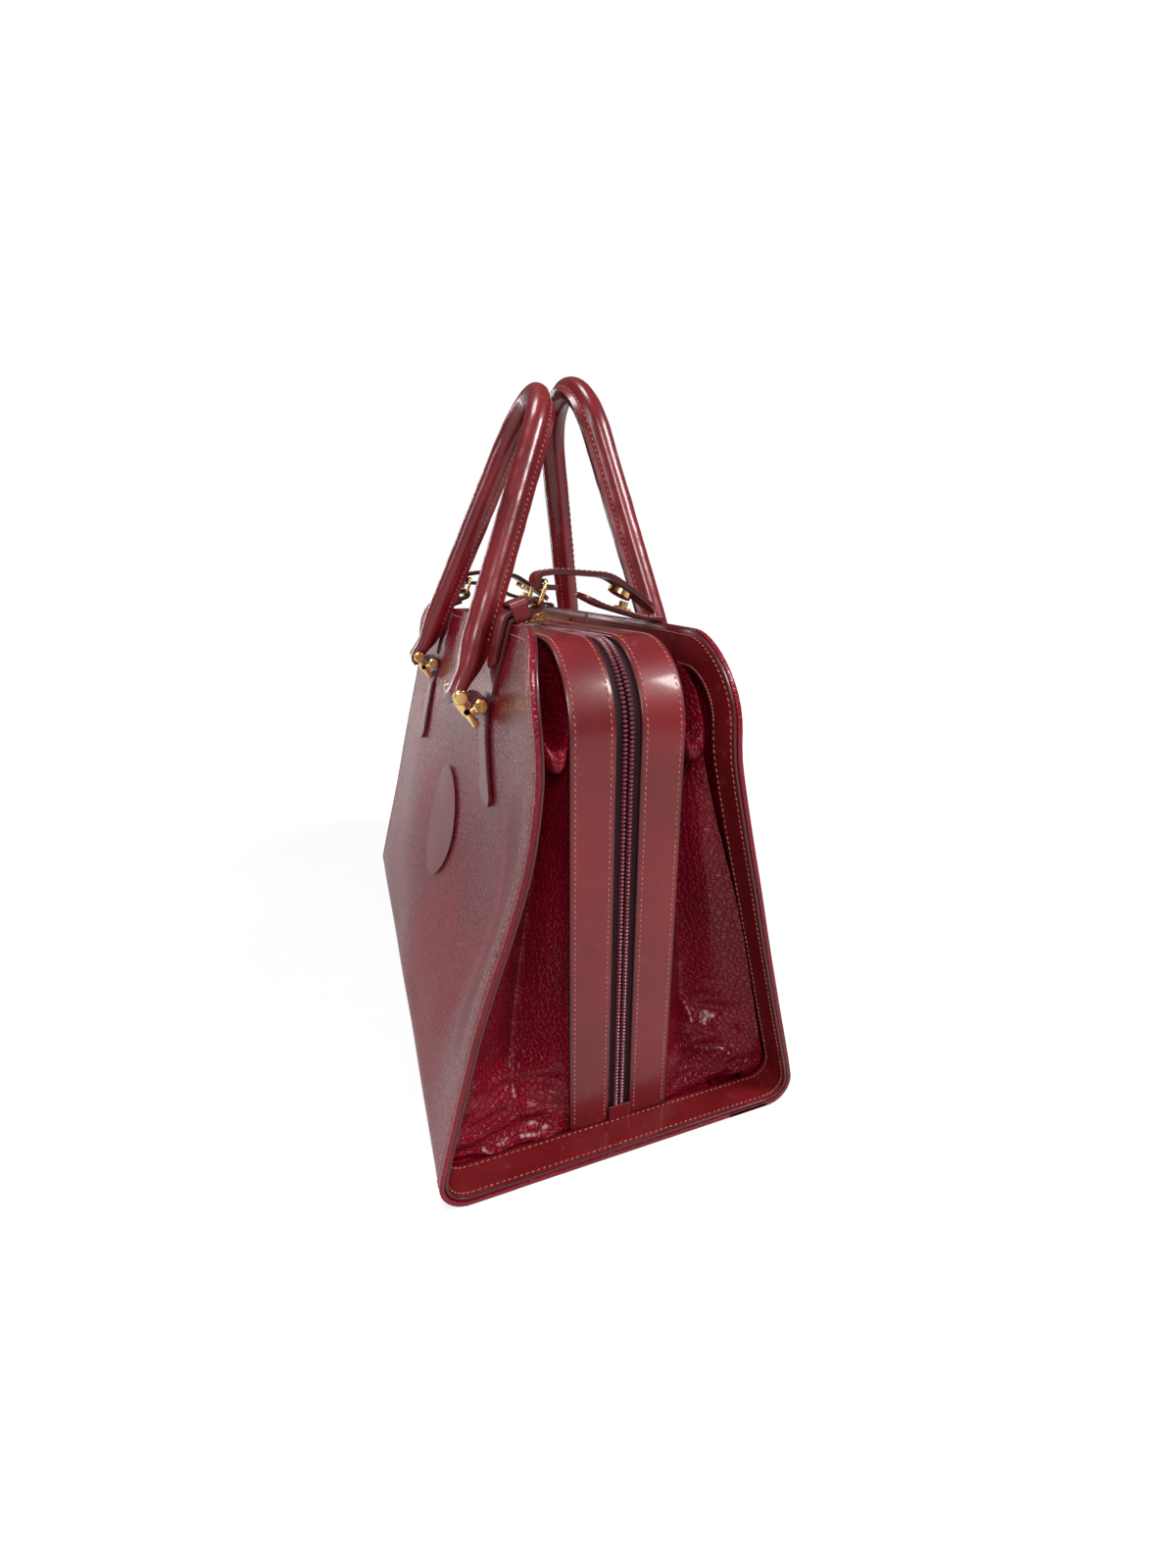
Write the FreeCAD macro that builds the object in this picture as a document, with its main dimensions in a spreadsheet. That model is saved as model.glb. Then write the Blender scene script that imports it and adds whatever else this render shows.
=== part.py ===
import FreeCAD, Part
import math
import os
import Sketcher
from FreeCAD import Placement, Rotation, Vector

# Doctor bag: two leather walls wrapped on a flat base, folded gussets and a zipped top between them,
# two rolled handles on brass clips, and a closing strap with a ring and a snap near each end.
# X runs along the bag, Y through its depth (the front wall is at -Y) and Z up from the floor.

DIMENSIONS = {
    # walls
    "BagLength": 390.0, "BagDepth": 205.8, "WallTop": 262.0, "WallKnee": 212.0, "KneeDepth": 98.0,
    "FrontTopDepth": 33.0, "BackTopDepth": 50.0, "EndLean": 7.0, "WallThickness": 2.4,
    "BaseRound": 14.0, "KneeRound": 90.0, "TopCornerRound": 42.0, "BaseFlap": 80.0,
    # trim inside the wall edges
    "TrimWidth": 20.0, "TrimThickness": 1.5, "SheetGap": 0.2,
    # zipped centre
    "CentreEnd": 174.0, "CentreTop": 257.0, "CentreRound": 40.0, "CentreFoot": 4.6,
    "BandWidth": 21.5, "BandInner": 6.8, "BandThickness": 2.0, "TapeThickness": 0.8,
    "TapeWidth": 14.0, "CoilWidth": 2.4, "CoilHeight": 2.2, "CoilSlit": 0.7,
    "EndTabLength": 9.0,
    # folded gussets
    "GussetThickness": 1.6, "FoldDepth": 28.0, "GussetDrop": 12.0,
    # base and inside
    "BoardThickness": 3.0, "BoardLength": 336.0, "BoardWidth": 160.0, "LiningThickness": 0.6,
    "PocketLength": 170.0, "PocketDrop": 105.0, "PocketThickness": 1.2,
    # patch, tabs and straps
    "PatchHeight": 80.0, "PatchWidth": 48.0, "PatchMiddle": 124.0, "PatchThickness": 2.4,
    "ClipPlace": 88.0, "TabWidth": 22.0, "TabFoot": 165.0, "TabTop": 224.0, "TabThickness": 2.6,
    "StrapPlace": 98.0, "StrapWidth": 14.0, "StrapThickness": 2.2, "StrapFoot": 227.0,
    "KeeperLength": 9.0, "KeeperWall": 1.5,
    "BarDepth": 20.4, "BarHeight": 272.0, "RingTall": 12.0, "RingWide": 22.0, "RingTilt": 20.0,
    "RingWire": 2.2, "RingRound": 3.5, "SnapDepth": 29.0, "SnapRadius": 6.5,
    # clips and handles
    "LowerEye": 220.0, "EyeGap": 4.9, "EyeOut": 10.0, "EyeUp": 5.0, "EyeRadius": 4.0,
    "PinRadius": 1.6, "PinLength": 35.0, "CheekPlace": 14.5, "CheekThickness": 2.2,
    "ClipPlate": 1.8, "FrontRise": 177.0, "BackRise": 172.0, "HandleSlope": 18.3,
    "HandleRadius": 6.3, "HandleFoot": 9.0, "CoreFoot": 13.5, "CoreRadius": 4.4,
    "FlangeReach": 9.2, "FlangeThickness": 4.0, "LoopRadius": 5.0, "LoopWidth": 20.0,
    "FrontLean": 23.0, "BackLean": 12.5, "FrontShift": 2.0, "BackShift": -4.2,
    # zip sliders and pulls
    "NearSlider": 44.0, "FarSlider": 18.0, "SliderLength": 15.0, "SliderWidth": 10.5,
    "PullLength": 20.0, "PullWidth": 7.0, "PullThickness": 1.6,
}

doc = FreeCAD.newDocument("DoctorBag")
sheet = doc.addObject("Spreadsheet::Sheet", "Dimensions")
for row, (alias, value) in enumerate(DIMENSIONS.items(), start=1):
    sheet.set("A%d" % row, alias)
    sheet.set("B%d" % row, str(value))
    sheet.setAlias("B%d" % row, alias)
doc.recompute()

PARTS = []
RUNNING_GAP = 0.3
PIN_PLAY = 0.08
SLIDER_PLATE = 1.4
BAR_LIFT = 2.3
PULL_DROOP = 9.0


def size(alias):
    """Value of one sheet cell, in millimetres or degrees."""
    return float(sheet.get(alias))


def cell(alias):
    """Expression that binds a property to one sheet cell."""
    return "Dimensions." + alias


# ---- flat geometry in a sketch's own plane ----

def run_normals(points):
    """Left-hand unit normals of an open run of points."""
    normals = []
    for start, end in zip(points, points[1:]):
        along = (end - start).normalize()
        normals.append(Vector(-along.y, along.x, 0))
    return normals


def shifted_run(points, radii, gap):
    """The same run moved to its left by a gap, with its corner radii changed to suit."""
    normals = run_normals(points)
    moved = [points[0] + normals[0] * gap]
    rounds = []
    for index, point in enumerate(points[1:-1]):
        before, after = normals[index], normals[index + 1]
        moved.append(point + (before + after) * (gap / (1.0 + before.dot(after))))
        turn = before.cross(after).z
        rounds.append(max(radii[index] - gap * math.copysign(1, turn), 0.3))
    moved.append(points[-1] + normals[-1] * gap)
    return moved, rounds


def rounded_run(points, radii):
    """Lines and tangent arcs along an open run of points."""
    edges = []
    start = points[0]
    for index, corner in enumerate(points[1:-1]):
        before = (points[index] - corner).normalize()
        after = (points[index + 2] - corner).normalize()
        half = before.getAngle(after) / 2.0
        reach = radii[index] / math.tan(half)
        middle = (before + after).normalize() * (radii[index] / math.sin(half) - radii[index])
        edges.append(Part.LineSegment(start, corner + before * reach))
        edges.append(Part.Arc(corner + before * reach, corner + middle, corner + after * reach))
        start = corner + after * reach
    edges.append(Part.LineSegment(start, points[-1]))
    return edges


def sheet_outline(points, radii, near, far):
    """Closed outline of a bent sheet between two offsets of one run."""
    inner, inner_radii = shifted_run(points, radii, near)
    outer, outer_radii = shifted_run(points, radii, far)
    edges = rounded_run(inner, inner_radii) + rounded_run(outer, outer_radii)
    edges.append(Part.LineSegment(inner[0], outer[0]))
    edges.append(Part.LineSegment(inner[-1], outer[-1]))
    return edges


def closed_run(points):
    """Closed outline of straight edges."""
    return [Part.LineSegment(a, b) for a, b in zip(points, points[1:] + points[:1])]


# ---- bodies, sketches and features ----

def new_body(label):
    body = doc.addObject("PartDesign::Body", label)
    body.Label = label
    PARTS.append(body)
    return body


def new_sketch(body, plane, edges=(), offset=0.0):
    """Sketch on one of the body's own origin planes, moved along that plane's normal."""
    sketch = body.newObject("Sketcher::SketchObject", "%s_sketch" % body.Label)
    support = [item for item in body.Origin.OriginFeatures if item.Role == plane]
    sketch.AttachmentSupport = [(support[0], "")]
    sketch.MapMode = "FlatFace"
    sketch.AttachmentOffset = Placement(Vector(0, 0, offset), Rotation())
    for edge in edges:
        sketch.addGeometry(edge, False)
    return sketch


def new_pad(body, sketch, length):
    """Pad to both sides of its sketch; length is a cell's alias or an expression."""
    pad = body.newObject("PartDesign::Pad", "%s_pad" % body.Label)
    pad.Profile = sketch
    pad.SideType = "Symmetric"
    pad.setExpression("Length", length)
    doc.recompute()
    return pad


def new_pocket(body, sketch, length):
    """Pocket to both sides of its sketch, which has to remove material."""
    before = body.Shape.Volume
    pocket = body.newObject("PartDesign::Pocket", "%s_pocket" % body.Label)
    pocket.Profile = sketch
    pocket.SideType = "Symmetric"
    pocket.setExpression("Length", length)
    doc.recompute()
    if not body.Shape.Volume < before - 0.01:
        raise RuntimeError("pocket of %s cuts nothing" % body.Label)
    return pocket


def bound_circle(sketch, centre, alias):
    """Circle whose radius is bound to a cell."""
    index = sketch.addGeometry(Part.Circle(centre, Vector(0, 0, 1), size(alias)), False)
    radius = sketch.addConstraint(Sketcher.Constraint("Radius", index, size(alias)))
    sketch.setExpression("Constraints[%d]" % radius, cell(alias))
    return index


def placed(item, place, turn=0.0, lean=0.0):
    """Puts a sub-part at a place, leaned about X and then turned about Z."""
    spin = Rotation(Vector(0, 0, 1), turn).multiply(Rotation(Vector(1, 0, 0), lean))
    item.Placement = Placement(place, spin)
    return item


def group(label, shapes):
    """Identical or joined pieces kept in one node."""
    feature = doc.addObject("Part::Feature", label)
    feature.Label = label
    feature.Shape = shapes[0] if len(shapes) == 1 else Part.makeCompound(shapes)
    PARTS.append(feature)
    return feature


# ---- lines that several pieces share ----

def wall_run(top_depth):
    """Outer face of the front wall in the YZ plane, from the base seam up to the top edge."""
    return [Vector(-size("BaseFlap"), 0, 0), Vector(-size("BagDepth") / 2, 0, 0),
            Vector(-size("KneeDepth") / 2, size("WallKnee"), 0), Vector(-top_depth, size("WallTop"), 0)]


def wall_point(height, gap, top_depth):
    """Point beside the upper front wall at a height, a gap outside its outer face."""
    foot, knee, top = wall_run(top_depth)[1:]
    low, high = (knee, top) if height > knee.y else (foot, knee)
    along = (high - low).normalize()
    on_wall = low + along * ((height - low.y) / along.y)
    return on_wall + Vector(-along.y, along.x, 0) * gap


def end_outline(inset, foot):
    """Rounded outline of a wall in the XZ plane, inset from its edge and open at the foot."""
    length, top = size("BagLength") / 2 - inset, size("WallTop") - inset
    lean = size("EndLean")
    points = [Vector(-length, foot, 0), Vector(lean - length, top, 0),
              Vector(length - lean, top, 0), Vector(length, foot, 0)]
    radius = size("TopCornerRound") - inset / 2
    return points, [radius, radius]


def centre_run():
    """Line of the zipped centre in the XZ plane: up one end, over the top, down the other."""
    end, top = size("CentreEnd"), size("CentreTop")
    points = [Vector(-end, size("CentreFoot"), 0), Vector(-end, top, 0),
              Vector(end, top, 0), Vector(end, size("CentreFoot"), 0)]
    return points, [size("CentreRound")] * 2


def cut_to_end_outline(body, inset, inside):
    """Trims a wall-shaped pad to the rounded outline, or opens it inside that outline."""
    points, radii = end_outline(inset, -1.0)
    edges = rounded_run(points, radii)
    reach, above = size("BagLength") / 2 + 20, size("WallTop") + 20
    foot = Vector(-points[-1].x, -1.0, 0)
    if inside:
        edges.append(Part.LineSegment(points[-1], foot))
    else:
        frame = [foot, Vector(-reach, -1, 0), Vector(-reach, above, 0),
                 Vector(reach, above, 0), Vector(reach, -1, 0), points[-1]]
        edges += [Part.LineSegment(a, b) for a, b in zip(frame, frame[1:])]
    new_pocket(body, new_sketch(body, "XZ_Plane", edges), cell("BagDepth") + " * 2")


# ---- leather walls, base and trim ----

def make_wall(label, top_depth, turn):
    """Pebbled leather wall: base flap, rounded foot, leaning face and upright top."""
    body = new_body(label)
    outline = sheet_outline(wall_run(top_depth), [size("BaseRound"), size("KneeRound")],
                            0.0, -size("WallThickness"))
    new_pad(body, new_sketch(body, "YZ_Plane", outline), cell("BagLength"))
    cut_to_end_outline(body, 0.0, False)
    placed(body, Vector(), turn)


def make_wall_trim(label, top_depth, turn):
    """Smooth strip stitched inside the wall's two end edges and its top edge."""
    body = new_body(label)
    near = -size("WallThickness") - size("SheetGap")
    outline = sheet_outline(wall_run(top_depth), [size("BaseRound"), size("KneeRound")],
                            near, near - size("TrimThickness"))
    new_pad(body, new_sketch(body, "YZ_Plane", outline), cell("BagLength"))
    cut_to_end_outline(body, 0.4, False)
    cut_to_end_outline(body, size("TrimWidth"), True)
    placed(body, Vector(), turn)


def make_base():
    """Leather base between the two walls' flaps, with its stiffening board on top."""
    base = doc.addObject("Part::Box", "base_panel")
    base.Label = "base_panel"
    base.setExpression("Length", cell("BagLength"))
    base.setExpression("Width", cell("BaseFlap") + " * 2 - 0.4")
    base.setExpression("Height", cell("WallThickness"))
    placed(base, Vector(-size("BagLength") / 2, 0.2 - size("BaseFlap"), 0))
    board = doc.addObject("Part::Box", "base_board")
    board.Label = "base_board"
    board.setExpression("Length", cell("BoardLength"))
    board.setExpression("Width", cell("BoardWidth"))
    board.setExpression("Height", cell("BoardThickness"))
    lift = size("WallThickness") + size("SheetGap")
    placed(board, Vector(-size("BoardLength") / 2, -size("BoardWidth") / 2, lift))
    PARTS.extend([base, board])


def make_base_trim(label, turn):
    """Smooth strip along the bottom of one end, lying on the base in front of the centre."""
    trim = doc.addObject("Part::Box", label)
    trim.Label = label
    trim.setExpression("Length", cell("TrimWidth") + " - 0.4")
    trim.setExpression("Width", cell("BaseFlap") + " * 2 - 0.8")
    trim.setExpression("Height", cell("TrimThickness"))
    lift = size("WallThickness") + size("SheetGap")
    start = Vector(size("BagLength") / 2 - size("TrimWidth"), 0.4 - size("BaseFlap"), lift)
    spin = Rotation(Vector(0, 0, 1), turn)
    trim.Placement = Placement(spin.multVec(start), spin)
    PARTS.append(trim)


def make_lining(label, top_depth, turn):
    """Fabric lining that backs one wall between the end gussets."""
    body = new_body(label)
    near = -size("WallThickness") - size("SheetGap")
    run = [wall_point(24, 0, top_depth), wall_run(top_depth)[2],
           wall_point(size("WallTop") - size("TrimWidth") - 6, 0, top_depth)]
    outline = sheet_outline(run, [size("KneeRound")], near, near - size("LiningThickness"))
    new_pad(body, new_sketch(body, "YZ_Plane", outline), "2 * (%s - %s - 22)"
            % (cell("CentreEnd"), cell("FoldDepth")))
    placed(body, Vector(), turn)


def make_pocket():
    """Flat slip pocket sewn to the lining of the back wall."""
    body = new_body("inner_pocket")
    near = -size("WallThickness") - size("LiningThickness") - 3 * size("SheetGap")
    top = 195.0
    run = [wall_point(top - size("PocketDrop"), 0, size("BackTopDepth")),
           wall_point(top, 0, size("BackTopDepth"))]
    outline = sheet_outline(run, [], near, near - size("PocketThickness"))
    new_pad(body, new_sketch(body, "YZ_Plane", outline), cell("PocketLength"))
    placed(body, Vector(), 180)


# ---- zipped centre ----

def make_centre_strip(label, inner, wide, near, far, turn):
    """Strip that follows the zipped centre, lying between two offsets from its line."""
    body = new_body(label)
    points, radii = centre_run()
    sketch = new_sketch(body, "XZ_Plane", sheet_outline(points, radii, near, far),
                        inner + size(wide) / 2)
    new_pad(body, sketch, cell(wide))
    placed(body, Vector(), turn)


def make_zip_end_tab(label, turn):
    """Leather tab over the foot of the zip at one end."""
    tab = doc.addObject("Part::Box", label)
    tab.Label = label
    tab.setExpression("Length", cell("TapeThickness"))
    tab.setExpression("Width", cell("BandInner") + " * 2 - 0.8")
    tab.setExpression("Height", cell("EndTabLength"))
    start = Vector(size("CentreEnd") + size("CoilHeight") + 0.3, 0.4 - size("BandInner"),
                   size("CentreFoot"))
    spin = Rotation(Vector(0, 0, 1), turn)
    tab.Placement = Placement(spin.multVec(start), spin)
    PARTS.append(tab)


# ---- folded gussets ----

def fold_section(inner, outer, drop, place):
    """V-shaped section of a gusset: centre edge, valley, wall edge, each put in place."""
    middle, half = (inner + outer) / 2, min(3.0, (outer - inner) / 2 - 0.4)
    run = [Vector(-inner, 0, 0), Vector(half - middle, -size("FoldDepth"), 0),
           Vector(-half - middle, -size("FoldDepth"), 0), Vector(-outer, -drop, 0)]
    back = shifted_run(run, [0.0, 0.0], size("GussetThickness"))[0]
    return closed_run([place(point) for point in run + back[::-1]])


def make_gusset(label, top_depth, turn):
    """Soft gusset folded inwards, up both ends and over the top between the centre and a wall."""
    body = new_body(label)
    end, top, rounding = size("CentreEnd"), size("CentreTop"), size("CentreRound")
    drop, foot = size("GussetDrop"), size("CentreFoot") + 1.0
    band_edge = size("BandInner") + size("BandWidth") + 0.7
    backing = size("WallThickness") + size("TrimThickness") + size("GussetThickness") + 2.1
    top_edge = -wall_point(top - drop, 0, top_depth).x - backing
    knee_edge = size("KneeDepth") / 2 - backing
    foot_edge = size("BagDepth") / 2 - backing - size("BaseRound") / 2
    knee = top - rounding
    over = fold_section(band_edge, top_edge, drop, lambda p: Vector(p.x, top + p.y, 0))
    new_pad(body, new_sketch(body, "YZ_Plane", over),
            "2 * (%s - %s)" % (cell("CentreEnd"), cell("CentreRound")))
    for side in (1, -1):
        corner = new_sketch(body, "YZ_Plane", over, side * (end - rounding))
        corner.addGeometry(Part.LineSegment(Vector(-200, knee, 0), Vector(200, knee, 0)), True)
        bend = body.newObject("PartDesign::Revolution", "%s_bend" % label)
        bend.Profile = corner
        bend.ReferenceAxis = (corner, ["Axis0"])
        bend.Angle = 90
        bend.Reversed = side < 0
        doc.recompute()
        upper = fold_section(band_edge, top_edge, drop,
                             lambda p: Vector(side * (end + p.y), p.x, 0))
        middle = fold_section(band_edge, knee_edge, drop / 2,
                              lambda p: Vector(side * (end + p.y), p.x, 0))
        lower = fold_section(band_edge, foot_edge, 0.5,
                             lambda p: Vector(side * (end + p.y), p.x, 0))
        leg = body.newObject("PartDesign::AdditiveLoft", "%s_leg" % label)
        leg.Profile = new_sketch(body, "XY_Plane", upper, knee)
        leg.Sections = [new_sketch(body, "XY_Plane", middle, knee - 12),
                        new_sketch(body, "XY_Plane", lower, foot)]
        leg.Ruled = True
        doc.recompute()
    placed(body, Vector(), turn)


# ---- patch, tabs and straps ----

def make_patch():
    """Oval raised patch with a rim, lying on the middle of the front wall."""
    body = new_body("oval_patch")
    face = new_sketch(body, "XZ_Plane")
    outline = face.addGeometry(Part.Ellipse(Vector(), size("PatchHeight") / 2, size("PatchWidth") / 2))
    face.addConstraint(Sketcher.Constraint("Block", outline))
    new_pad(body, face, cell("PatchThickness"))
    middle = size("PatchMiddle")
    lean = math.degrees(math.atan2(size("BagDepth") / 2 - size("KneeDepth") / 2, size("WallKnee")))
    centre = wall_point(middle, size("PatchThickness") / 2 + size("SheetGap"), size("FrontTopDepth"))
    upright = Rotation(Vector(0, 1, 0), 90)
    spin = Rotation(Vector(1, 0, 0), -lean).multiply(upright)
    body.Placement = Placement(Vector(0, centre.x, centre.y), spin)


def make_tab(label, place, top_depth, turn):
    """Stitched tongue on a wall whose head carries the loop for a clip's lower pin."""
    body = new_body(label)
    near = size("SheetGap")
    run = [wall_point(size("TabFoot"), 0, top_depth), wall_run(top_depth)[2],
           wall_point(size("TabTop"), 0, top_depth)]
    outline = sheet_outline(run, [size("KneeRound")], near, near + size("TabThickness"))
    new_pad(body, new_sketch(body, "YZ_Plane", outline), cell("TabWidth"))
    half, foot = size("TabWidth") / 2, size("TabFoot") - 1
    low, above = foot - 12, foot + half + 1
    tongue = [Part.LineSegment(Vector(-half, above, 0), Vector(-half - 3, above, 0)),
              Part.LineSegment(Vector(-half - 3, above, 0), Vector(-half - 3, low, 0)),
              Part.LineSegment(Vector(-half - 3, low, 0), Vector(half + 3, low, 0)),
              Part.LineSegment(Vector(half + 3, low, 0), Vector(half + 3, above, 0)),
              Part.LineSegment(Vector(half + 3, above, 0), Vector(half, above, 0)),
              Part.Arc(Vector(half, above, 0), Vector(0, above - half, 0), Vector(-half, above, 0))]
    new_pocket(body, new_sketch(body, "XZ_Plane", tongue), cell("BagDepth") + " * 2")
    eye = lower_eye(top_depth)
    loop = new_sketch(body, "YZ_Plane")
    bound_circle(loop, eye, "EyeRadius")
    new_pad(body, loop, cell("LoopWidth"))
    hole = new_sketch(body, "YZ_Plane", [Part.Circle(eye, Vector(0, 0, 1), size("PinRadius") + PIN_PLAY)])
    new_pocket(body, hole, cell("PinLength"))
    placed(body, Rotation(Vector(0, 0, 1), turn).multVec(Vector(place, 0, 0)), turn)


def lower_eye(top_depth):
    """Axis of a clip's lower pin, beside the front wall."""
    return wall_point(size("LowerEye"), size("EyeGap"), top_depth)


def upper_eye(top_depth):
    """Axis of a clip's upper pin, which carries a handle end."""
    return lower_eye(top_depth) + Vector(-size("EyeOut"), size("EyeUp"), 0)


def ring_bar():
    """Lower bar of the ring, around which the closing strap is folded."""
    return Vector(-size("BarDepth"), size("BarHeight"), 0)


def ring_top():
    """Upper bar of the ring, from which the top strap starts."""
    tilt = math.radians(size("RingTilt"))
    return ring_bar() + Vector(math.sin(tilt), math.cos(tilt), 0) * size("RingTall")


def strap_frame():
    """Direction of the closing strap between the wall's top edge and the ring, and its normal."""
    along = Vector(math.cos(math.radians(19)), math.sin(math.radians(19)), 0)
    return along, Vector(-along.y, along.x, 0)


def make_front_strap(label, place):
    """Closing strap: up the front wall, over its edge, round the ring's lower bar and back."""
    body = new_body(label)
    top_depth, thick = size("FrontTopDepth"), size("StrapThickness")
    along, across = strap_frame()
    bend = size("RingWire") / 2 + thick / 2 + 0.6
    turn_low = ring_bar() + along * bend - across * bend
    turn_high = ring_bar() + along * bend + across * bend
    near = 0.3 + thick / 2
    layer = thick + 0.5
    edge = size("WallTop") + 1.6
    run = [wall_point(size("StrapFoot"), near, top_depth), wall_point(edge, near, top_depth),
           turn_low, turn_high, ring_bar() - along * 8 + across * (bend - 0.5),
           wall_point(edge + 2, near + layer, top_depth), wall_point(242, near + layer, top_depth)]
    radii = [thick / 2 + 0.4, bend - 0.05, bend - 0.05, 20.0, 6.0]
    outline = sheet_outline(run, radii, -thick / 2, thick / 2)
    new_pad(body, new_sketch(body, "YZ_Plane", outline), cell("StrapWidth"))
    placed(body, Vector(place, 0, 0))


def make_keeper(label, place):
    """Leather keeper, a flat tube around both layers of the closing strap."""
    along, across = strap_frame()
    thick, wall = size("StrapThickness"), size("KeeperWall")
    inside = 2 * thick + 4.2
    wide = size("StrapWidth") + 0.8
    long = size("KeeperLength")
    outer = Part.makeBox(wide + 2 * wall, long, inside + 2 * wall,
                         Vector(-wide / 2 - wall, -long / 2, -inside / 2 - wall))
    inner = Part.makeBox(wide, long + 2, inside, Vector(-wide / 2, -long / 2 - 1, -inside / 2))
    middle = ring_bar() - along * 9.5 - across * 0.35
    keeper = group(label, [outer.cut(inner)])
    keeper.Placement = Placement(Vector(place, middle.x, middle.y), Rotation(Vector(1, 0, 0), 19))


def make_ring(label, place):
    """Brass ring between the closing strap and the top strap."""
    body = new_body(label)
    wide, tall, rounding = size("RingWide") / 2, size("RingTall"), size("RingRound")
    corners = [Vector(0, 0, 0), Vector(wide, 0, 0), Vector(wide, tall, 0), Vector(-wide, tall, 0),
               Vector(-wide, 0, 0), Vector(0, 0, 0)]
    path = new_sketch(body, "XZ_Plane", rounded_run(corners, [rounding] * 4))
    wire = new_sketch(body, "YZ_Plane")
    bound_circle(wire, Vector(), "RingWire")
    wire.setExpression("Constraints[0]", cell("RingWire") + " / 2")
    doc.recompute()
    pipe = body.newObject("PartDesign::AdditivePipe", "%s_pipe" % label)
    pipe.Profile = wire
    pipe.Spine = (path, [])
    doc.recompute()
    bar = ring_bar()
    body.Placement = Placement(Vector(place, bar.x, bar.y), Rotation(Vector(1, 0, 0), -size("RingTilt")))


def top_strap_stretch():
    """Ends of the top strap's straight stretch that carries the snap."""
    bar = ring_top()
    return Vector(34, bar.y - 6.5, 0), Vector(19, bar.y + 1.6, 0)


def make_top_strap(label, place):
    """Strap folded round the ring's upper bar that arches over the zip to the snap."""
    body = new_body(label)
    thick = size("StrapThickness")
    bend = size("RingWire") / 2 + thick / 2 + 0.6
    bar = ring_top()
    low, high = top_strap_stretch()
    run = [bar + Vector(7, -bend - 0.2, 0), bar + Vector(-bend, -bend, 0), bar + Vector(-bend, bend, 0),
           bar + Vector(8, bend + 0.4, 0), high, low, Vector(49, bar.y - 16, 0)]
    radii = [bend - 0.05, bend - 0.05, 20.0, 20.0, 40.0]
    outline = sheet_outline(run, radii, -thick / 2, thick / 2)
    new_pad(body, new_sketch(body, "YZ_Plane", outline), cell("StrapWidth"))
    placed(body, Vector(place, 0, 0))


def back_strap_stretch():
    """Ends of the short back strap's straight stretch that carries the snap's stud."""
    return Vector(-40, size("WallTop") + 2.4, 0), Vector(-16, 271.0, 0)


def make_back_strap(label, place):
    """Short strap from the back wall, over its edge, that carries the snap's stud."""
    body = new_body(label)
    top_depth, thick = size("BackTopDepth"), size("StrapThickness")
    near = 0.3 + thick / 2
    edge = size("WallTop") + 1.6
    run = [wall_point(size("StrapFoot"), near, top_depth), wall_point(edge, near, top_depth),
           *back_strap_stretch(), Vector(-3, 277.0, 0)]
    outline = sheet_outline(run, [thick / 2 + 0.4, 15.0, 30.0], -thick / 2, thick / 2)
    new_pad(body, new_sketch(body, "YZ_Plane", outline), cell("StrapWidth"))
    placed(body, Vector(place, 0, 0), 180)


# ---- clips, pins and handles ----

def make_clip(label, place, top_depth, turn):
    """Brass clip: two cheeks with an upper and a lower eye, joined by a plate."""
    body = new_body(label)
    upper = Vector(-size("EyeOut"), size("EyeUp"), 0)
    toe = Vector(-3.5, -9.0, 0)
    radius = size("EyeRadius")
    cheek_edges = rounded_run([upper + Vector(1, 0, 0), upper + Vector(-radius, -1, 0) * 1.1,
                               toe + Vector(-2.5, -2.2, 0), toe + Vector(3.4, -2.0, 0),
                               Vector(radius + 0.6, -1.5, 0), Vector(radius - 1.0, radius + 0.2, 0),
                               Vector(-3.5, 1.2, 0), upper + Vector(3.9, 2.5, 0),
                               upper + Vector(1.0, radius + 1.2, 0), upper + Vector(-3, 3.6, 0)],
                              [1.0, 1.6, 1.6, 2.2, 2.6, 1.2, 2.0, 1.0])
    closing = Part.LineSegment(cheek_edges[-1].EndPoint, cheek_edges[0].StartPoint)
    for side in (1, -1):
        cheek = new_sketch(body, "YZ_Plane", cheek_edges + [closing], side * size("CheekPlace"))
        new_pad(body, cheek, cell("CheekThickness"))
    along = (toe - upper).normalize()
    across = Vector(-along.y, along.x, 0) * (size("ClipPlate") / 2)
    start, stop = upper + along * 8.0, toe + along * 1.0
    plate = closed_run([start + across, stop + across, stop - across, start - across])
    new_pad(body, new_sketch(body, "YZ_Plane", plate), cell("CheekPlace") + " * 2")
    for eye in (upper, Vector()):
        bore = Part.Circle(eye, Vector(0, 0, 1), size("PinRadius") + PIN_PLAY)
        hole = new_sketch(body, "YZ_Plane", [bore])
        new_pocket(body, hole, cell("PinLength") + " * 2")
    eye = lower_eye(top_depth)
    spin = Rotation(Vector(0, 0, 1), turn)
    body.Placement = Placement(spin.multVec(Vector(place, eye.x, eye.y)), spin)


def make_pins(label, eye, turn):
    """Two headed screws on one axis, one in each clip of a handle."""
    spin = Rotation(Vector(0, 0, 1), turn)
    pins = []
    outside = size("CheekPlace") + size("CheekThickness") / 2 + 0.15
    for place in (size("ClipPlace"), -size("ClipPlace")):
        shank = Part.makeCylinder(size("PinRadius"), 2 * outside + 0.4, Vector(-outside - 0.2, 0, 0),
                                  Vector(1, 0, 0))
        for side in (1, -1):
            head = Part.makeCylinder(size("PinRadius") + 1.3, 1.3, Vector(side * outside, 0, 0),
                                     Vector(side, 0, 0))
            slot = Part.makeBox(2, 0.7, 8, Vector(side * (outside + 1.7) - 1, -0.35, -4))
            shank = shank.fuse(head.cut(slot))
        shank.translate(Vector(place, 0, 0))
        pins.append(shank)
    feature = group(label, pins)
    feature.Placement = Placement(spin.multVec(Vector(0, eye.x, eye.y)), spin)


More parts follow.
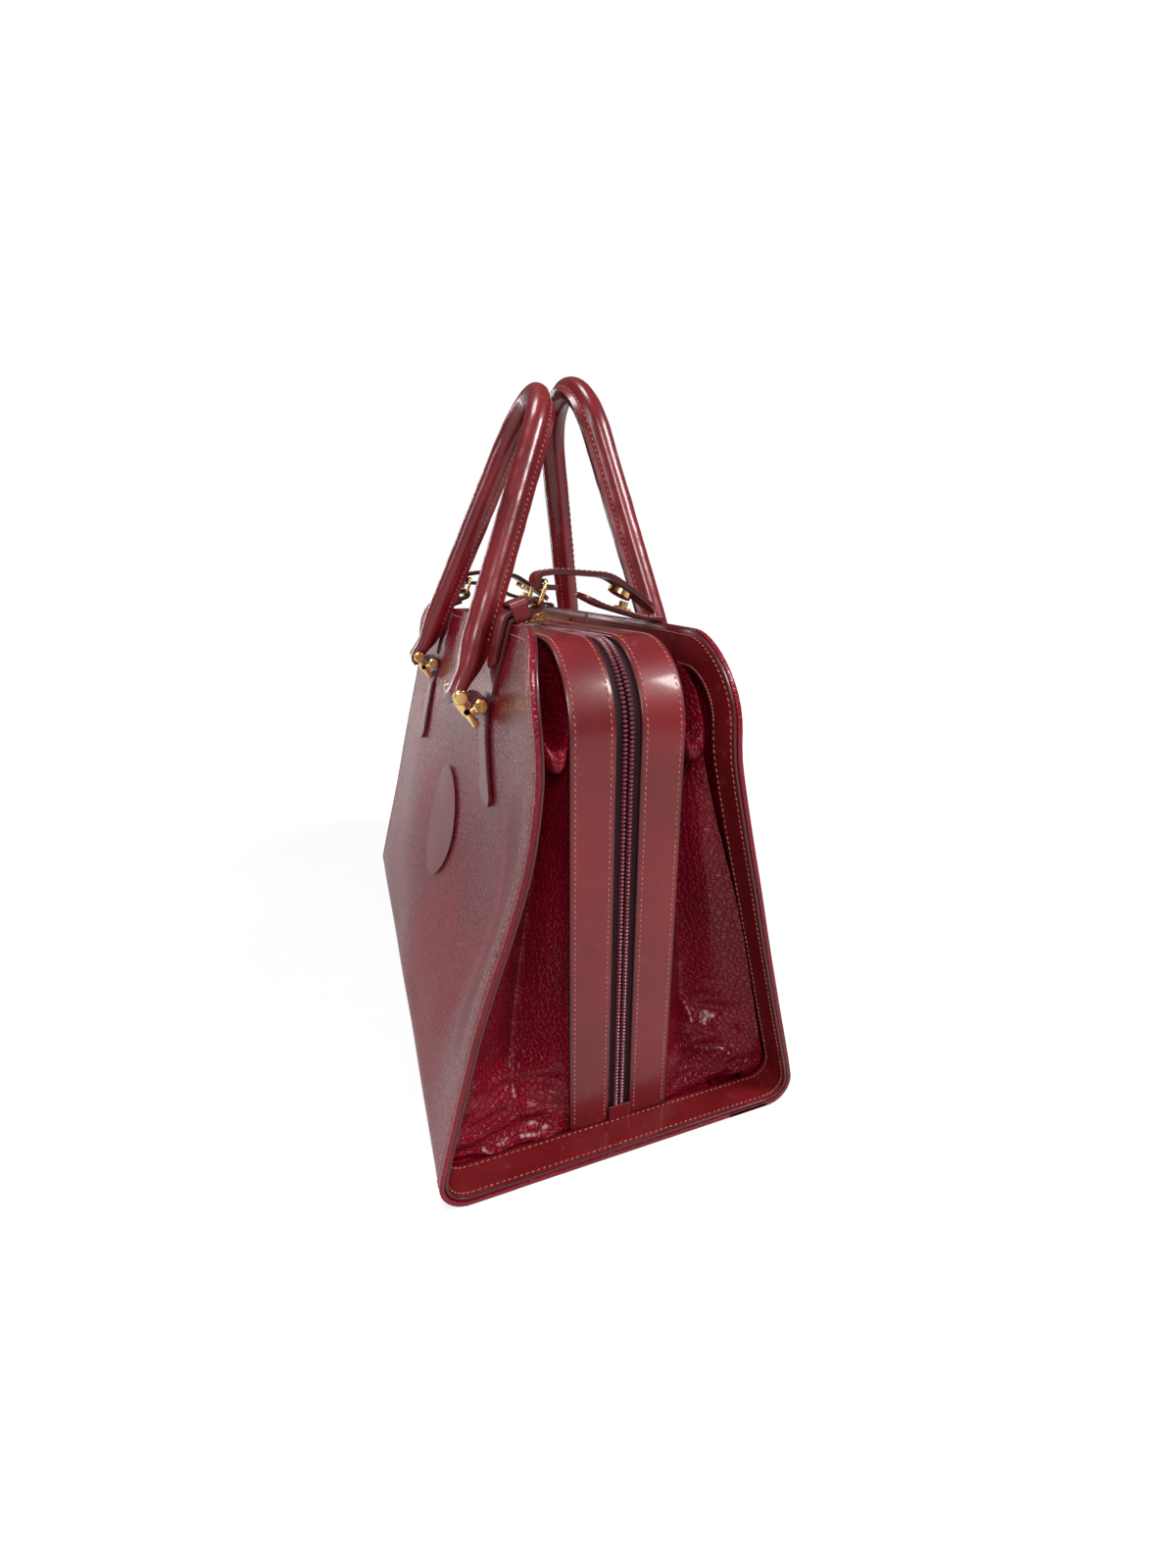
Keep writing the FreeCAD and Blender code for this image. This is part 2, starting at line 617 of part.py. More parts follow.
def handle_path(foot, rise):
    """Handle line in its own plane: two converging legs joined by a round top."""
    slope = math.radians(size("HandleSlope"))
    half = size("ClipPlace")
    centre = (rise - half * math.cos(slope)) / (1 - math.sin(slope))
    radius = rise - centre
    start = Vector(half - foot * math.tan(slope), foot, 0)
    shoulder = Vector(radius * math.cos(slope), centre + radius * math.sin(slope), 0)
    left, right = Vector(-start.x, start.y, 0), Vector(-shoulder.x, shoulder.y, 0)
    return [Part.LineSegment(start, shoulder), Part.Arc(shoulder, Vector(0, rise, 0), right),
            Part.LineSegment(right, left)]


def handle_frame(top_depth, turn, lean):
    """Placement of a handle: its plane passes beside the upper pins and leans inwards."""
    eye = upper_eye(top_depth)
    spin = Rotation(Vector(0, 0, 1), turn).multiply(Rotation(Vector(1, 0, 0), -lean))
    base = Rotation(Vector(0, 0, 1), turn).multVec(Vector(0, eye.x, eye.y))
    return Placement(base, spin)


def sweep_along_handle(body, profile, foot, rise, shift):
    """Pipe of a closed profile sketch along the handle line."""
    path = new_sketch(body, "XZ_Plane", handle_path(foot, rise), -shift)
    doc.recompute()
    pipe = body.newObject("PartDesign::AdditivePipe", "%s_pipe" % body.Label)
    pipe.Profile = profile
    pipe.Spine = (path, [])
    doc.recompute()
    return pipe


def leg_foot(foot, shift):
    """Middle of the section at the foot of the leg at +X."""
    return Vector(size("ClipPlace") - foot * math.tan(math.radians(size("HandleSlope"))), shift, 0)


def make_handle(label, top_depth, turn, rise, lean, shift):
    """Rolled leather handle with a stitched flange and a pin loop at each end."""
    body = new_body(label)
    radius, core = size("HandleRadius"), size("CoreRadius") + 0.1
    foot = size("HandleFoot")
    place = leg_foot(foot, shift)
    half = size("FlangeThickness") / 2
    side = math.sqrt(radius ** 2 - half ** 2)
    left, right = place + Vector(-half, side, 0), place + Vector(half, side, 0)
    reach = Vector(0, size("FlangeReach") - side, 0)
    edges = [Part.Arc(right, place + Vector(0, -radius, 0), left), Part.LineSegment(left, left + reach),
             Part.LineSegment(left + reach, right + reach), Part.LineSegment(right + reach, right),
             Part.Circle(place, Vector(0, 0, 1), core)]
    sweep_along_handle(body, new_sketch(body, "XY_Plane", edges, foot), foot, rise, shift)
    loop = size("LoopRadius")
    thick = 4.4
    for place in (size("ClipPlace"), -size("ClipPlace")):
        profile = [Part.LineSegment(Vector(-loop, 0, 0), Vector(shift - thick, foot + 1, 0)),
                   Part.LineSegment(Vector(shift - thick, foot + 1, 0), Vector(shift + thick, foot + 1, 0)),
                   Part.LineSegment(Vector(shift + thick, foot + 1, 0), Vector(loop, 0, 0)),
                   Part.Arc(Vector(loop, 0, 0), Vector(0, -loop, 0), Vector(-loop, 0, 0))]
        end = new_sketch(body, "YZ_Plane", profile, place - math.copysign(1.2, place))
        new_pad(body, end, cell("LoopWidth") + " - 2")
    bore = Part.Circle(Vector(), Vector(0, 0, 1), size("PinRadius") + PIN_PLAY)
    hole = new_sketch(body, "YZ_Plane", [bore])
    new_pocket(body, hole, cell("BagLength"))
    body.Placement = handle_frame(top_depth, turn, lean)


def make_handle_core(label, top_depth, turn, rise, lean, shift):
    """Cord core inside a rolled handle."""
    body = new_body(label)
    foot = size("CoreFoot")
    section = new_sketch(body, "XY_Plane", (), foot)
    bound_circle(section, leg_foot(foot, shift), "CoreRadius")
    sweep_along_handle(body, section, foot, rise, shift)
    body.Placement = handle_frame(top_depth, turn, lean)


# ---- snaps, sliders and pulls ----

def strap_point(run_low, run_high, depth):
    """Height of a straight strap stretch at one depth."""
    share = (depth - run_low.x) / (run_high.x - run_low.x)
    return run_low.y + (run_high.y - run_low.y) * share


def make_snap_stud(label, place):
    """Brass stud riveted on the short back strap."""
    low, high = back_strap_stretch()
    slope = math.degrees(math.atan2(high.y - low.y, high.x - low.x))
    height = strap_point(low, high, -size("SnapDepth"))
    radius = size("SnapRadius") - 1.5
    stud = Part.makeCylinder(radius, 1.2).fuse(Part.makeCylinder(radius / 2, 4.2))
    feature = group(label, [stud])
    lift = size("StrapThickness") / 2 + 0.15
    feature.Placement = Placement(Vector(place, size("SnapDepth") + 0.3, height + lift),
                                  Rotation(Vector(1, 0, 0), -slope))


def make_snap_cap(label, place):
    """Snap cap on the top strap: a flat head above the strap and its socket below."""
    radius, thick = size("SnapRadius"), size("StrapThickness")
    head = Part.makeCylinder(radius, 1.4, Vector(0, 0, thick / 2 + 0.1))
    socket = Part.makeCylinder(radius, 2.6, Vector(0, 0, -thick / 2 - 2.7))
    cup = Part.makeCylinder(radius / 2 - 0.8, 3, Vector(0, 0, -thick / 2 - 3.4))
    feature = group(label, [head, socket.cut(cup)])
    low, high = top_strap_stretch()
    height = strap_point(low, high, size("SnapDepth"))
    slope = math.degrees(math.atan2(high.y - low.y, low.x - high.x))
    feature.Placement = Placement(Vector(place, size("SnapDepth"), height),
                                  Rotation(Vector(1, 0, 0), -slope))


def slider_top():
    """Height of a slider's upper face."""
    return size("CentreTop") + size("CoilHeight") + RUNNING_GAP + SLIDER_PLATE


def make_slider(label, place):
    """Zip slider: two plates joined by a web in the slit, with a bail on top."""
    long, wide = size("SliderLength"), size("SliderWidth")
    above = slider_top() - SLIDER_PLATE
    below = size("CentreTop") - size("TapeThickness") - 0.1 - RUNNING_GAP
    web_half = size("CoilSlit") - 0.2
    plates = Part.makeBox(long, wide, SLIDER_PLATE, Vector(-long / 2, -wide / 2, above))
    under = Part.makeBox(long, wide, SLIDER_PLATE, Vector(-long / 2, -wide / 2, below - SLIDER_PLATE))
    corners = [edge for edge in plates.Edges if abs(edge.Length - SLIDER_PLATE) < 0.01]
    plates = plates.makeFillet(3.0, corners).fuse(under)
    web = Part.makeBox(4, 2 * web_half, above - below + 1, Vector(-2, -web_half, below - 0.5))
    solids = [web]
    for side in (1, -1):
        post = Part.makeBox(1.4, 1.4, BAR_LIFT + 0.7, Vector(side * 3.6 - 0.7, -0.7, slider_top() - 0.5))
        solids.append(post)
    bar = Part.makeCylinder(0.8, 8.6, Vector(-4.3, 0, slider_top() + BAR_LIFT), Vector(1, 0, 0))
    feature = group(label, [plates.fuse(solids + [bar])])
    placed(feature, Vector(place, 0, 0))


def make_pull(label, place, turn):
    """Pull tab on a slider's bail, lying over a band beside the zip."""
    body = new_body(label)
    half, long = size("PullWidth") / 2, size("PullLength")
    outline = [Part.LineSegment(Vector(-2.4, 1.2, 0), Vector(2.4, 1.2, 0)),
               Part.LineSegment(Vector(2.4, 1.2, 0), Vector(half, long - half, 0)),
               Part.Arc(Vector(half, long - half, 0), Vector(0, long, 0), Vector(-half, long - half, 0)),
               Part.LineSegment(Vector(-half, long - half, 0), Vector(-2.4, 1.2, 0)),
               Part.Circle(Vector(0, long - half, 0), Vector(0, 0, 1), half / 2)]
    new_pad(body, new_sketch(body, "XY_Plane", outline), cell("PullThickness"))
    sleeve = new_sketch(body, "YZ_Plane", [Part.Circle(Vector(), Vector(0, 0, 1), BAR_LIFT - RUNNING_GAP)])
    new_pad(body, sleeve, "5.4")
    bore = new_sketch(body, "YZ_Plane", [Part.Circle(Vector(), Vector(0, 0, 1), 0.8 + PIN_PLAY)])
    new_pocket(body, bore, "20")
    placed(body, Vector(place, 0, slider_top() + BAR_LIFT), turn, -PULL_DROOP)


# ---- the whole bag ----

front_top, back_top = size("FrontTopDepth"), size("BackTopDepth")
SIDES = (("front", front_top, 0, size("FrontRise"), size("FrontLean"), size("FrontShift")),
         ("back", back_top, 180, size("BackRise"), size("BackLean"), size("BackShift")))
ENDS = (("near", 1), ("far", -1))

make_base()
make_pocket()
make_patch()
for side, top_depth, turn, rise, lean, shift in SIDES:
    make_wall("%s_panel" % side, top_depth, turn)
    make_wall_trim("%s_trim" % side, top_depth, turn)
    make_lining("%s_lining" % side, top_depth, turn)
    make_gusset("%s_gusset" % side, top_depth, turn)
    make_centre_strip("%s_band" % side, size("BandInner"), "BandWidth", 0.0, size("BandThickness"), turn)
    make_centre_strip("%s_zip_tape" % side, size("CoilSlit") + 0.2, "TapeWidth",
                      -size("TapeThickness") - 0.1, -0.1, turn)
    make_centre_strip("%s_zip_coil" % side, size("CoilSlit"), "CoilWidth", 0.0, size("CoilHeight"), turn)
    make_handle("%s_handle" % side, top_depth, turn, rise, lean, shift)
    make_handle_core("%s_handle_core" % side, top_depth, turn, rise, lean, shift)
    make_pins("%s_tab_pins" % side, lower_eye(top_depth), turn)
    make_pins("%s_handle_pins" % side, upper_eye(top_depth), turn)
    facing = 1 if turn == 0 else -1
    for end, sign in ENDS:
        place = facing * sign * size("ClipPlace")
        make_tab("%s_tab_%s" % (side, end), place, top_depth, turn)
        make_clip("%s_clip_%s" % (side, end), place, top_depth, turn)
for end, sign in ENDS:
    place = sign * size("StrapPlace")
    make_base_trim("base_trim_%s" % end, 0 if sign > 0 else 180)
    make_zip_end_tab("zip_end_tab_%s" % end, 0 if sign > 0 else 180)
    make_front_strap("front_strap_%s" % end, place)
    make_keeper("keeper_%s" % end, place)
    make_ring("ring_%s" % end, place)
    make_top_strap("top_strap_%s" % end, place)
    make_back_strap("back_strap_%s" % end, place)
    make_snap_stud("snap_stud_%s" % end, place)
    make_snap_cap("snap_cap_%s" % end, place)
make_slider("zip_slider_near", size("NearSlider"))
make_slider("zip_slider_far", size("FarSlider"))
make_pull("zip_pull_near", size("NearSlider"), 0)
make_pull("zip_pull_far", size("FarSlider"), 180)

doc.recompute()
faults = [item.Name for item in doc.Objects if "Invalid" in item.State or "Error" in item.State]
faults += [item.Label for item in PARTS if item.Shape.isNull() or not item.Shape.isValid()]
if faults:
    raise RuntimeError("failed objects: " + ", ".join(faults))
os.makedirs("parts", exist_ok=True)
for item in PARTS:
    item.Shape.exportStep(os.path.join("parts", item.Label + ".step"))
print(len(PARTS), "parts written")
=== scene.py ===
import math

import bmesh
import bpy
from mathutils import Matrix, Vector, noise


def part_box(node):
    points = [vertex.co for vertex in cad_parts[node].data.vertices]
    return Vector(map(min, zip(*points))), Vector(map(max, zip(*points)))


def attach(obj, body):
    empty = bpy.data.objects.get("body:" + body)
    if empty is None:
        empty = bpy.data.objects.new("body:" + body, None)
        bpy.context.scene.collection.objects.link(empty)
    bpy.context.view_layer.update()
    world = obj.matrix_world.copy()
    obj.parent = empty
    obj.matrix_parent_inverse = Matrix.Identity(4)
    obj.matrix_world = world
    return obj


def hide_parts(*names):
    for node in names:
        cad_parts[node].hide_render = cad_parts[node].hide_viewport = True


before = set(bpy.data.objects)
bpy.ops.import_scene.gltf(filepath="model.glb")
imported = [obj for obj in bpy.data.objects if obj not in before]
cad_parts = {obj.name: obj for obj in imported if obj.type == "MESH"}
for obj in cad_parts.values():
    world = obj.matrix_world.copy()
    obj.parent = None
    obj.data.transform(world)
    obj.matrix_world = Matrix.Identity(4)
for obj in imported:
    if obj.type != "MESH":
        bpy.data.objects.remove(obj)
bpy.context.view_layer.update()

# ---- sizes in metres; front is towards -Y and the near end towards +X ----

panel_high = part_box("front_panel")[1]
HALF_LENGTH = panel_high[0]
WALL_TOP = panel_high[2]
END_LEAN = 0.007
TOP_CORNER = 0.042
HALF_DEPTH = 0.1029
KNEE_DEPTH, KNEE_HEIGHT = 0.049, 0.212
FRONT_TOP, BACK_TOP = 0.033, 0.050
BASE_ROUND, KNEE_ROUND = 0.014, 0.090
BASE_FLAP = 0.080
WALL_THICK = 0.0024
TRIM_WIDE, TRIM_THICK = 0.0198, 0.0015
TRIM_INSET = 0.0041

CENTRE_END, CENTRE_TOP, CENTRE_FOOT, CENTRE_ROUND = 0.174, 0.257, 0.0046, 0.040
BAND_INNER, BAND_WIDE, BAND_THICK = 0.0068, 0.0215, 0.0020
TAPE_INNER, TAPE_WIDE, TAPE_THICK = 0.0009, 0.0140, 0.0008
FOLD_DEPTH, GUSSET_THICK, ZIP_FOOT = 0.028, 0.0016, 0.009

TAB_PLACE, TAB_WIDE, TAB_THICK, TAB_FOOT = 0.088, 0.022, 0.0026, 0.165
STRAP_PLACE, STRAP_WIDE, STRAP_THICK, STRAP_FOOT = 0.098, 0.014, 0.0022, 0.227
RING_BAR, RING_TOP = Vector((-0.0204, 0.272)), Vector((-0.0163, 0.28328))
RING_WIRE = 0.0022
PATCH_TALL, PATCH_WIDE, PATCH_MIDDLE, PATCH_LIFT = 0.080, 0.048, 0.124, 0.0017

HANDLE_HALF, HANDLE_SLOPE = 0.088, math.radians(18.3)
HANDLE_RADIUS, FLANGE_REACH, LOOP_RADIUS = 0.0071, 0.0097, 0.0047

STITCH_PITCH, STITCH_SLANT, STITCH_LIFT = 0.0029, 14, 0.00005
STITCH_HALF = (0.00112, 0.00036, 0.00034)
TEETH, TOOTH_HALF = 400, (0.00098, 0.0016, 0.0013)

FRONT_SAG, BACK_SAG, SAG_PLACE = 0.023, 0.006, 0.112
EDGE_PINCH, CORNER_FLARE, BACK_CURL, RIPPLE = 0.0065, 0.0085, 0.004, 0.0011

SIDES = {
    "front": {"sign": -1, "lower_eye": (0.05111, 0.22149), "upper_eye": (0.06111, 0.22649),
              "rise": 0.177, "lean": 23.0, "shift": 0.002},
    "back": {"sign": 1, "lower_eye": (0.05406, 0.21990), "upper_eye": (0.06406, 0.22490),
             "rise": 0.172, "lean": 12.5, "shift": -0.0042},
}
ENDS = {"near": 1, "far": -1}


# ---- lines ----

class Line:
    """A run of straight stretches with rounded corners, measured along its length."""

    def __init__(self, points, radii=()):
        corners = [Vector(point) for point in points]
        self.spots = [corners[0]]
        for before, corner, after, radius in zip(corners, corners[1:], corners[2:], radii):
            arrive, leave = (corner - before).normalized(), (after - corner).normalized()
            turn = math.atan2(arrive.x * leave.y - arrive.y * leave.x, arrive.dot(leave))
            first = corner - arrive * radius * math.tan(abs(turn) / 2)
            middle = first + Vector((-arrive.y, arrive.x)) * math.copysign(radius, turn)
            steps = max(1, math.ceil(abs(turn) / 0.07))
            for step in range(steps + 1):
                self.spots.append(middle + turned(first - middle, turn * step / steps))
        self.spots.append(corners[-1])
        self.marks = [0.0]
        for a, b in zip(self.spots, self.spots[1:]):
            self.marks.append(self.marks[-1] + (b - a).length)
        self.length = self.marks[-1]
        runs = [(b - a).normalized() for a, b in zip(self.spots, self.spots[1:]) if (b - a).length > 1e-9]
        keep = [0] + [i + 1 for i, (a, b) in enumerate(zip(self.spots, self.spots[1:]))
                      if (b - a).length > 1e-9]
        self.spots = [self.spots[i] for i in keep]
        self.marks = [self.marks[i] for i in keep]
        self.runs = [runs[0]] + [(a + b).normalized() for a, b in zip(runs, runs[1:])] + [runs[-1]]

    def at(self, distance):
        """Point and direction at a distance from the line's start."""
        distance = min(max(distance, 0.0), self.length)
        low, high = 0, len(self.marks) - 1
        while high - low > 1:
            middle = (low + high) // 2
            if self.marks[middle] > distance:
                high = middle
            else:
                low = middle
        share = (distance - self.marks[low]) / (self.marks[high] - self.marks[low])
        return (self.spots[low].lerp(self.spots[high], share),
                self.runs[low].lerp(self.runs[high], share).normalized())


def turned(vector, angle):
    """A flat vector turned anticlockwise."""
    cosine, sine = math.cos(angle), math.sin(angle)
    return Vector((vector.x * cosine - vector.y * sine, vector.x * sine + vector.y * cosine))


def ramp(value, low, high):
    """Smooth step from 0 at low to 1 at high."""
    share = min(max((value - low) / (high - low), 0.0), 1.0)
    return share * share * (3 - 2 * share)


def bell(value, middle, reach):
    """Smooth hump of height 1 around the middle."""
    share = min(abs(value - middle) / reach, 1.0)
    return 0.5 + 0.5 * math.cos(math.pi * share)


# ---- the leather wrap: front wall, base and back wall as one outer face ----

WRAP = Line([(-FRONT_TOP, WALL_TOP), (-KNEE_DEPTH, KNEE_HEIGHT), (-HALF_DEPTH, 0.0), (HALF_DEPTH, 0.0),
             (KNEE_DEPTH, KNEE_HEIGHT), (BACK_TOP, WALL_TOP)],
            [KNEE_ROUND, BASE_ROUND, BASE_ROUND, KNEE_ROUND])
FRONT_SEAM = next(mark for mark, spot in zip(WRAP.marks, WRAP.spots) if spot.y < 1e-6) \
    + HALF_DEPTH - BASE_FLAP
BASE_ACROSS = 2 * BASE_FLAP


def wall_give(x, place):
    """How far a wall hangs inwards of its taut shape."""
    height, depth = place.y, place.x
    middle, sink = (SAG_PLACE, FRONT_SAG) if depth < 0 else (0.0, BACK_SAG)
    give = sink * bell(x, middle, 0.076 if x > middle else 0.225) * bell(height, 0.120, 0.122)
    if depth < 0:
        give += EDGE_PINCH * bell(height, 0.165, 0.085) * ramp(x, 0.10, 0.17)
        give -= CORNER_FLARE * ramp(abs(x), 0.105, 0.178) * ramp(height, 0.205, 0.252)
    if depth > 0:
        give += BACK_CURL * ramp(abs(x), 0.10, 0.17) * ramp(height, 0.215, 0.262)
    under_tab = ramp(height, 0.150, 0.185) * ramp(0.125, abs(x), abs(x) + 0.02)
    give += RIPPLE * noise.noise(Vector((x * 15, depth * 15, height * 15))) * (1 - under_tab)
    return give * ramp(height, 0.004, 0.03)


def wrap_spot(x, along, inset=0.0):
    """Point on the wrap: across the bag, along from the front's top edge, inset from the outer face."""
    place, run = WRAP.at(along)
    out = Vector((run.y, -run.x))
    spot = place - out * (inset + wall_give(x, place))
    return Vector((x, spot.x, spot.y))


def wrap_at_height(sign, height):
    """Distance along the wrap at which the front (-1) or back (1) wall passes a height."""
    low, high = (0.0, FRONT_SEAM) if sign < 0 else (WRAP.length, FRONT_SEAM + BASE_ACROSS)
    for _ in range(24):
        middle = (low + high) / 2
        if WRAP.at(middle)[0].y > height:
            low = middle
        else:
            high = middle
    return (low + high) / 2


def half_length(height):
    """Half of the bag's length at a height."""
    return HALF_LENGTH - END_LEAN * height / WALL_TOP


# ---- slabs: flat sheets cut to size, given thickness and laid in place ----

def slab(lay, long_steps, wide_steps, edge=0.0005):
    """Sheet laid by lay(s, t, h): s along and t across from 0 to 1, h 0 on the outer face, 1 inside."""
    bm = bmesh.new()
    bm.loops.layers.uv.new("Sheet")
    bmesh.ops.create_grid(bm, x_segments=long_steps, y_segments=wide_steps, size=0.5, calc_uvs=True)
    bmesh.ops.translate(bm, verts=bm.verts, vec=(0.5, 0.5, 0.0))
    grown = bmesh.ops.extrude_face_region(bm, geom=bm.faces[:], use_keep_orig=True)["geom"]
    bmesh.ops.translate(bm, verts=[part for part in grown if isinstance(part, bmesh.types.BMVert)],
                        vec=(0.0, 0.0, 1.0))
    bm.normal_update()
    rim = [e for e in bm.edges
           if len(e.link_faces) == 2 and abs(e.link_faces[0].normal.dot(e.link_faces[1].normal)) < 0.5]
    for vert in bm.verts:
        vert.co = lay(vert.co.x, vert.co.y, vert.co.z)
    bmesh.ops.recalc_face_normals(bm, faces=bm.faces)
    if edge:
        bmesh.ops.bevel(bm, geom=rim, offset=edge, segments=2, profile=0.5, affect="EDGES", material=-1,
                        clamp_overlap=True)
    return bm


def finished(name, bm, finish, nodes=(), body="bag"):
    """Turns a mesh in the making into a piece that rides on a body and stands for CAD nodes."""
    mesh = bpy.data.meshes.new(name)
    for face in bm.faces:
        face.smooth = True
    if not bm.loops.layers.uv:
        sheet = bm.loops.layers.uv.new("Sheet")
        for loop in (loop for face in bm.faces for loop in face.loops):
            loop[sheet].uv = (0.5, 0.5)
    bm.to_mesh(mesh)
    bm.free()
    mesh.set_sharp_from_angle(angle=math.radians(50))
    mesh.materials.append(finish)
    piece = bpy.data.objects.new(name, mesh)
    bpy.context.collection.objects.link(piece)
    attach(piece, body)
    if nodes:
        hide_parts(*nodes)


def stitch_row(bm, lay, across, first, last, pitch=STITCH_PITCH):
    """Row of slanted stitches on the outer face of a laid sheet, across it at one place."""
    step = 0.002
    length = sum((lay(first + (last - first) * (i + 1) / 40, across, 0)
                  - lay(first + (last - first) * i / 40, across, 0)).length for i in range(40))
    count = max(2, round(length / pitch))
    for index in range(count):
        s = first + (last - first) * (index + 0.5) / count
        spot = lay(s, across, 0)
        along = lay(min(s + step, 1), across, 0) - lay(max(s - step, 0), across, 0)
        side = lay(s, min(across + 0.02, 1), 0) - lay(s, max(across - 0.02, 0), 0)
        up = along.cross(side).normalized()
        if up.dot(spot - lay(s, across, 1)) < 0:
            up = -up
        add_stitch(bm, spot + up * STITCH_LIFT, along.normalized(), up)


def add_stitch(bm, spot, along, up):
    """One short thread lying on a surface, slanted to its row."""
    across = up.cross(along).normalized()
    axes = Matrix((along, across, up)).transposed().to_4x4()
    place = Matrix.Translation(spot) @ axes @ Matrix.Rotation(math.radians(STITCH_SLANT), 4, "Z") \
        @ Matrix.Diagonal((*STITCH_HALF, 1))
    bmesh.ops.create_icosphere(bm, subdivisions=1, radius=1.0, matrix=place)


def rounded_ends(s, t, length, first_round, last_round):
    """Distance along a strap and its place across (-1 to 1), with half-round ends."""
    across = math.sin((t - 0.5) * math.pi)
    hollow = 1 - math.sqrt(max(0.0, 1 - across * across))
    first, last = first_round * hollow, length - last_round * hollow
    return first + s * (last - first), across


def strap_lay(line, middle, wide, thick, face=1, tips=(0.0, 0.0), place=None):
    """Lay of a strap whose middle follows a line in the YZ plane."""
    def lay(s, t, h):
        along, across = rounded_ends(s, t, line.length, *tips)
        spot, run = line.at(along)
        out = Vector((-run.y, run.x)) * face
        spot = spot + out * thick * (0.5 - h)
        point = Vector((middle + across * wide / 2, spot.x, spot.y))
        return place @ point if place else point
    return lay


def make_strap(name, lay, finish, nodes, body="bag", steps=(60, 12), rows=(0.20, 0.80),
               span=(0.03, 0.97)):
    """Strap with its stitched rows."""
    finished(name, slab(lay, *steps, edge=0.0005), finish, nodes, body)
    if rows:
        bm = bmesh.new()
        for across in rows:
            stitch_row(bm, lay, across, *span)
        finished("%s_stitches" % name, bm, THREAD, (), body)


# ---- finishes ----

class Socket:
    """A shader value that takes part in Python sums; each sum adds its Math node."""

    def __init__(self, finish, link):
        self.finish, self.link = finish, link

    def math(self, operation, *values):
        return self.finish.node("ShaderNodeMath", dict(enumerate(values)), operation=operation)

    def __add__(self, other):
        return self.math("ADD", self, other)

    def __sub__(self, other):
        return self.math("SUBTRACT", self, other)

    def __rsub__(self, other):
        return self.math("SUBTRACT", other, self)

    def __mul__(self, other):
        return self.math("MULTIPLY", self, other)

    def __pow__(self, other):
        return self.math("POWER", self, other)

    def __abs__(self):
        return self.math("ABSOLUTE", self)

    __radd__, __rmul__ = __add__, __mul__

    def clipped(self, low, high):
        """0 below low, 1 above high, straight between."""
        return self.finish.node("ShaderNodeMapRange", {"Value": self, "From Min": low, "From Max": high})

    def wave(self):
        return self.math("SINE", self)


class Finish:
    """A material being made: its surface shader and the nodes that feed it."""

    def __init__(self, name, **surface):
        self.material = bpy.data.materials.new(name)
        self.material.use_nodes = True
        self.tree = self.material.node_tree
        self.surface = self.tree.nodes["Principled BSDF"]
        for socket, value in surface.items():
            self.surface.inputs[socket.replace("_", " ")].default_value = value
        self.place = self.node("ShaderNodeTexCoord", {}, "Object")

    def node(self, kind, values, result=0, **settings):
        """Any node: settings first, then the values or links of its sockets."""
        node = self.tree.nodes.new(kind)
        for name, value in settings.items():
            setattr(node, name, value)
        for socket, value in values.items():
            self.feed(node.inputs[socket], value)
        return Socket(self, node.outputs[result])

    def feed(self, socket, value):
        if isinstance(value, Socket):
            self.tree.links.new(value.link, socket)
        else:
            socket.default_value = value

    def noise(self, scale, detail=3.0, rough=0.55, place=None):
        return self.node("ShaderNodeTexNoise", {"Vector": place or self.place, "Scale": scale,
                                                "Detail": detail, "Roughness": rough})

    def cells(self, scale, smooth=0.35, place=None):
        return self.node("ShaderNodeTexVoronoi", {"Vector": place or self.place, "Scale": scale,
                                                  "Smoothness": smooth, "Randomness": 0.9},
                         "Distance", feature="SMOOTH_F1")

    def blend(self, share, first, second):
        return self.node("ShaderNodeMix", {0: share, 6: first, 7: second}, 2, data_type="RGBA")

    def bump(self, height, strength, distance):
        return self.node("ShaderNodeBump", {"Height": height, "Strength": strength, "Distance": distance})

    def across(self):
        """Place across a laid sheet, 0 on its middle and 1 on its long edges."""
        sheet = self.node("ShaderNodeUVMap", {}, uv_map="Sheet")
        split = self.node("ShaderNodeSeparateXYZ", {"Vector": sheet}, "Y")
        return abs(split * 2 - 1)

    def done(self, **channels):
        for socket, value in channels.items():
            self.feed(self.surface.inputs[socket.replace("_", " ")], value)
        return self.material


def colour(red, green, blue):
    """Colour from screen values 0 to 255."""
    return tuple((c / 255) ** 2.2 for c in (red, green, blue)) + (1.0,)


def grey(value):
    return (value, value, value, 1.0)


def pebbled_leather(name, light, dark, grain, bump):
    """Chrome-tanned leather with a flat-topped pebble grain, its crevices darkened with painted shade."""
    finish = Finish(name, Coat_Weight=0.20, Coat_Roughness=0.15, Specular_IOR_Level=0.36,
                    Specular_Tint=(1.0, 0.62, 0.66, 1.0))
    jitter = finish.node("ShaderNodeTexNoise", {"Vector": finish.place, "Scale": 190.0}, "Color")
    jitter = finish.node("ShaderNodeVectorMath", {0: jitter, 1: (0.0024, 0.0024, 0.0024)},
                         operation="MULTIPLY")
    drift = finish.node("ShaderNodeVectorMath", {0: finish.place, 1: jitter}, operation="ADD")
    edges = finish.node("ShaderNodeTexVoronoi", {"Vector": drift, "Scale": 1 / grain, "Randomness": 0.85},
                        "Distance", feature="DISTANCE_TO_EDGE")
    pebbles = edges.clipped(0.0, 0.22) ** 0.55
    fine = finish.noise(1500.0, 2.0)
    clouds = finish.noise(14.0, 4.0)
    # the colour darkens into the crevices between the pebbles: painted shade, over a random cloudy tone
    tone = finish.blend((pebbles * 0.22 + clouds * 0.9 - 0.10).clipped(0.1, 0.9), dark, light)
    rough = 0.36 - pebbles * 0.14 + clouds * 0.10
    return finish.done(Base_Color=tone, Roughness=rough,
                       Normal=finish.bump(pebbles + fine * 0.10, bump, grain * 0.22))


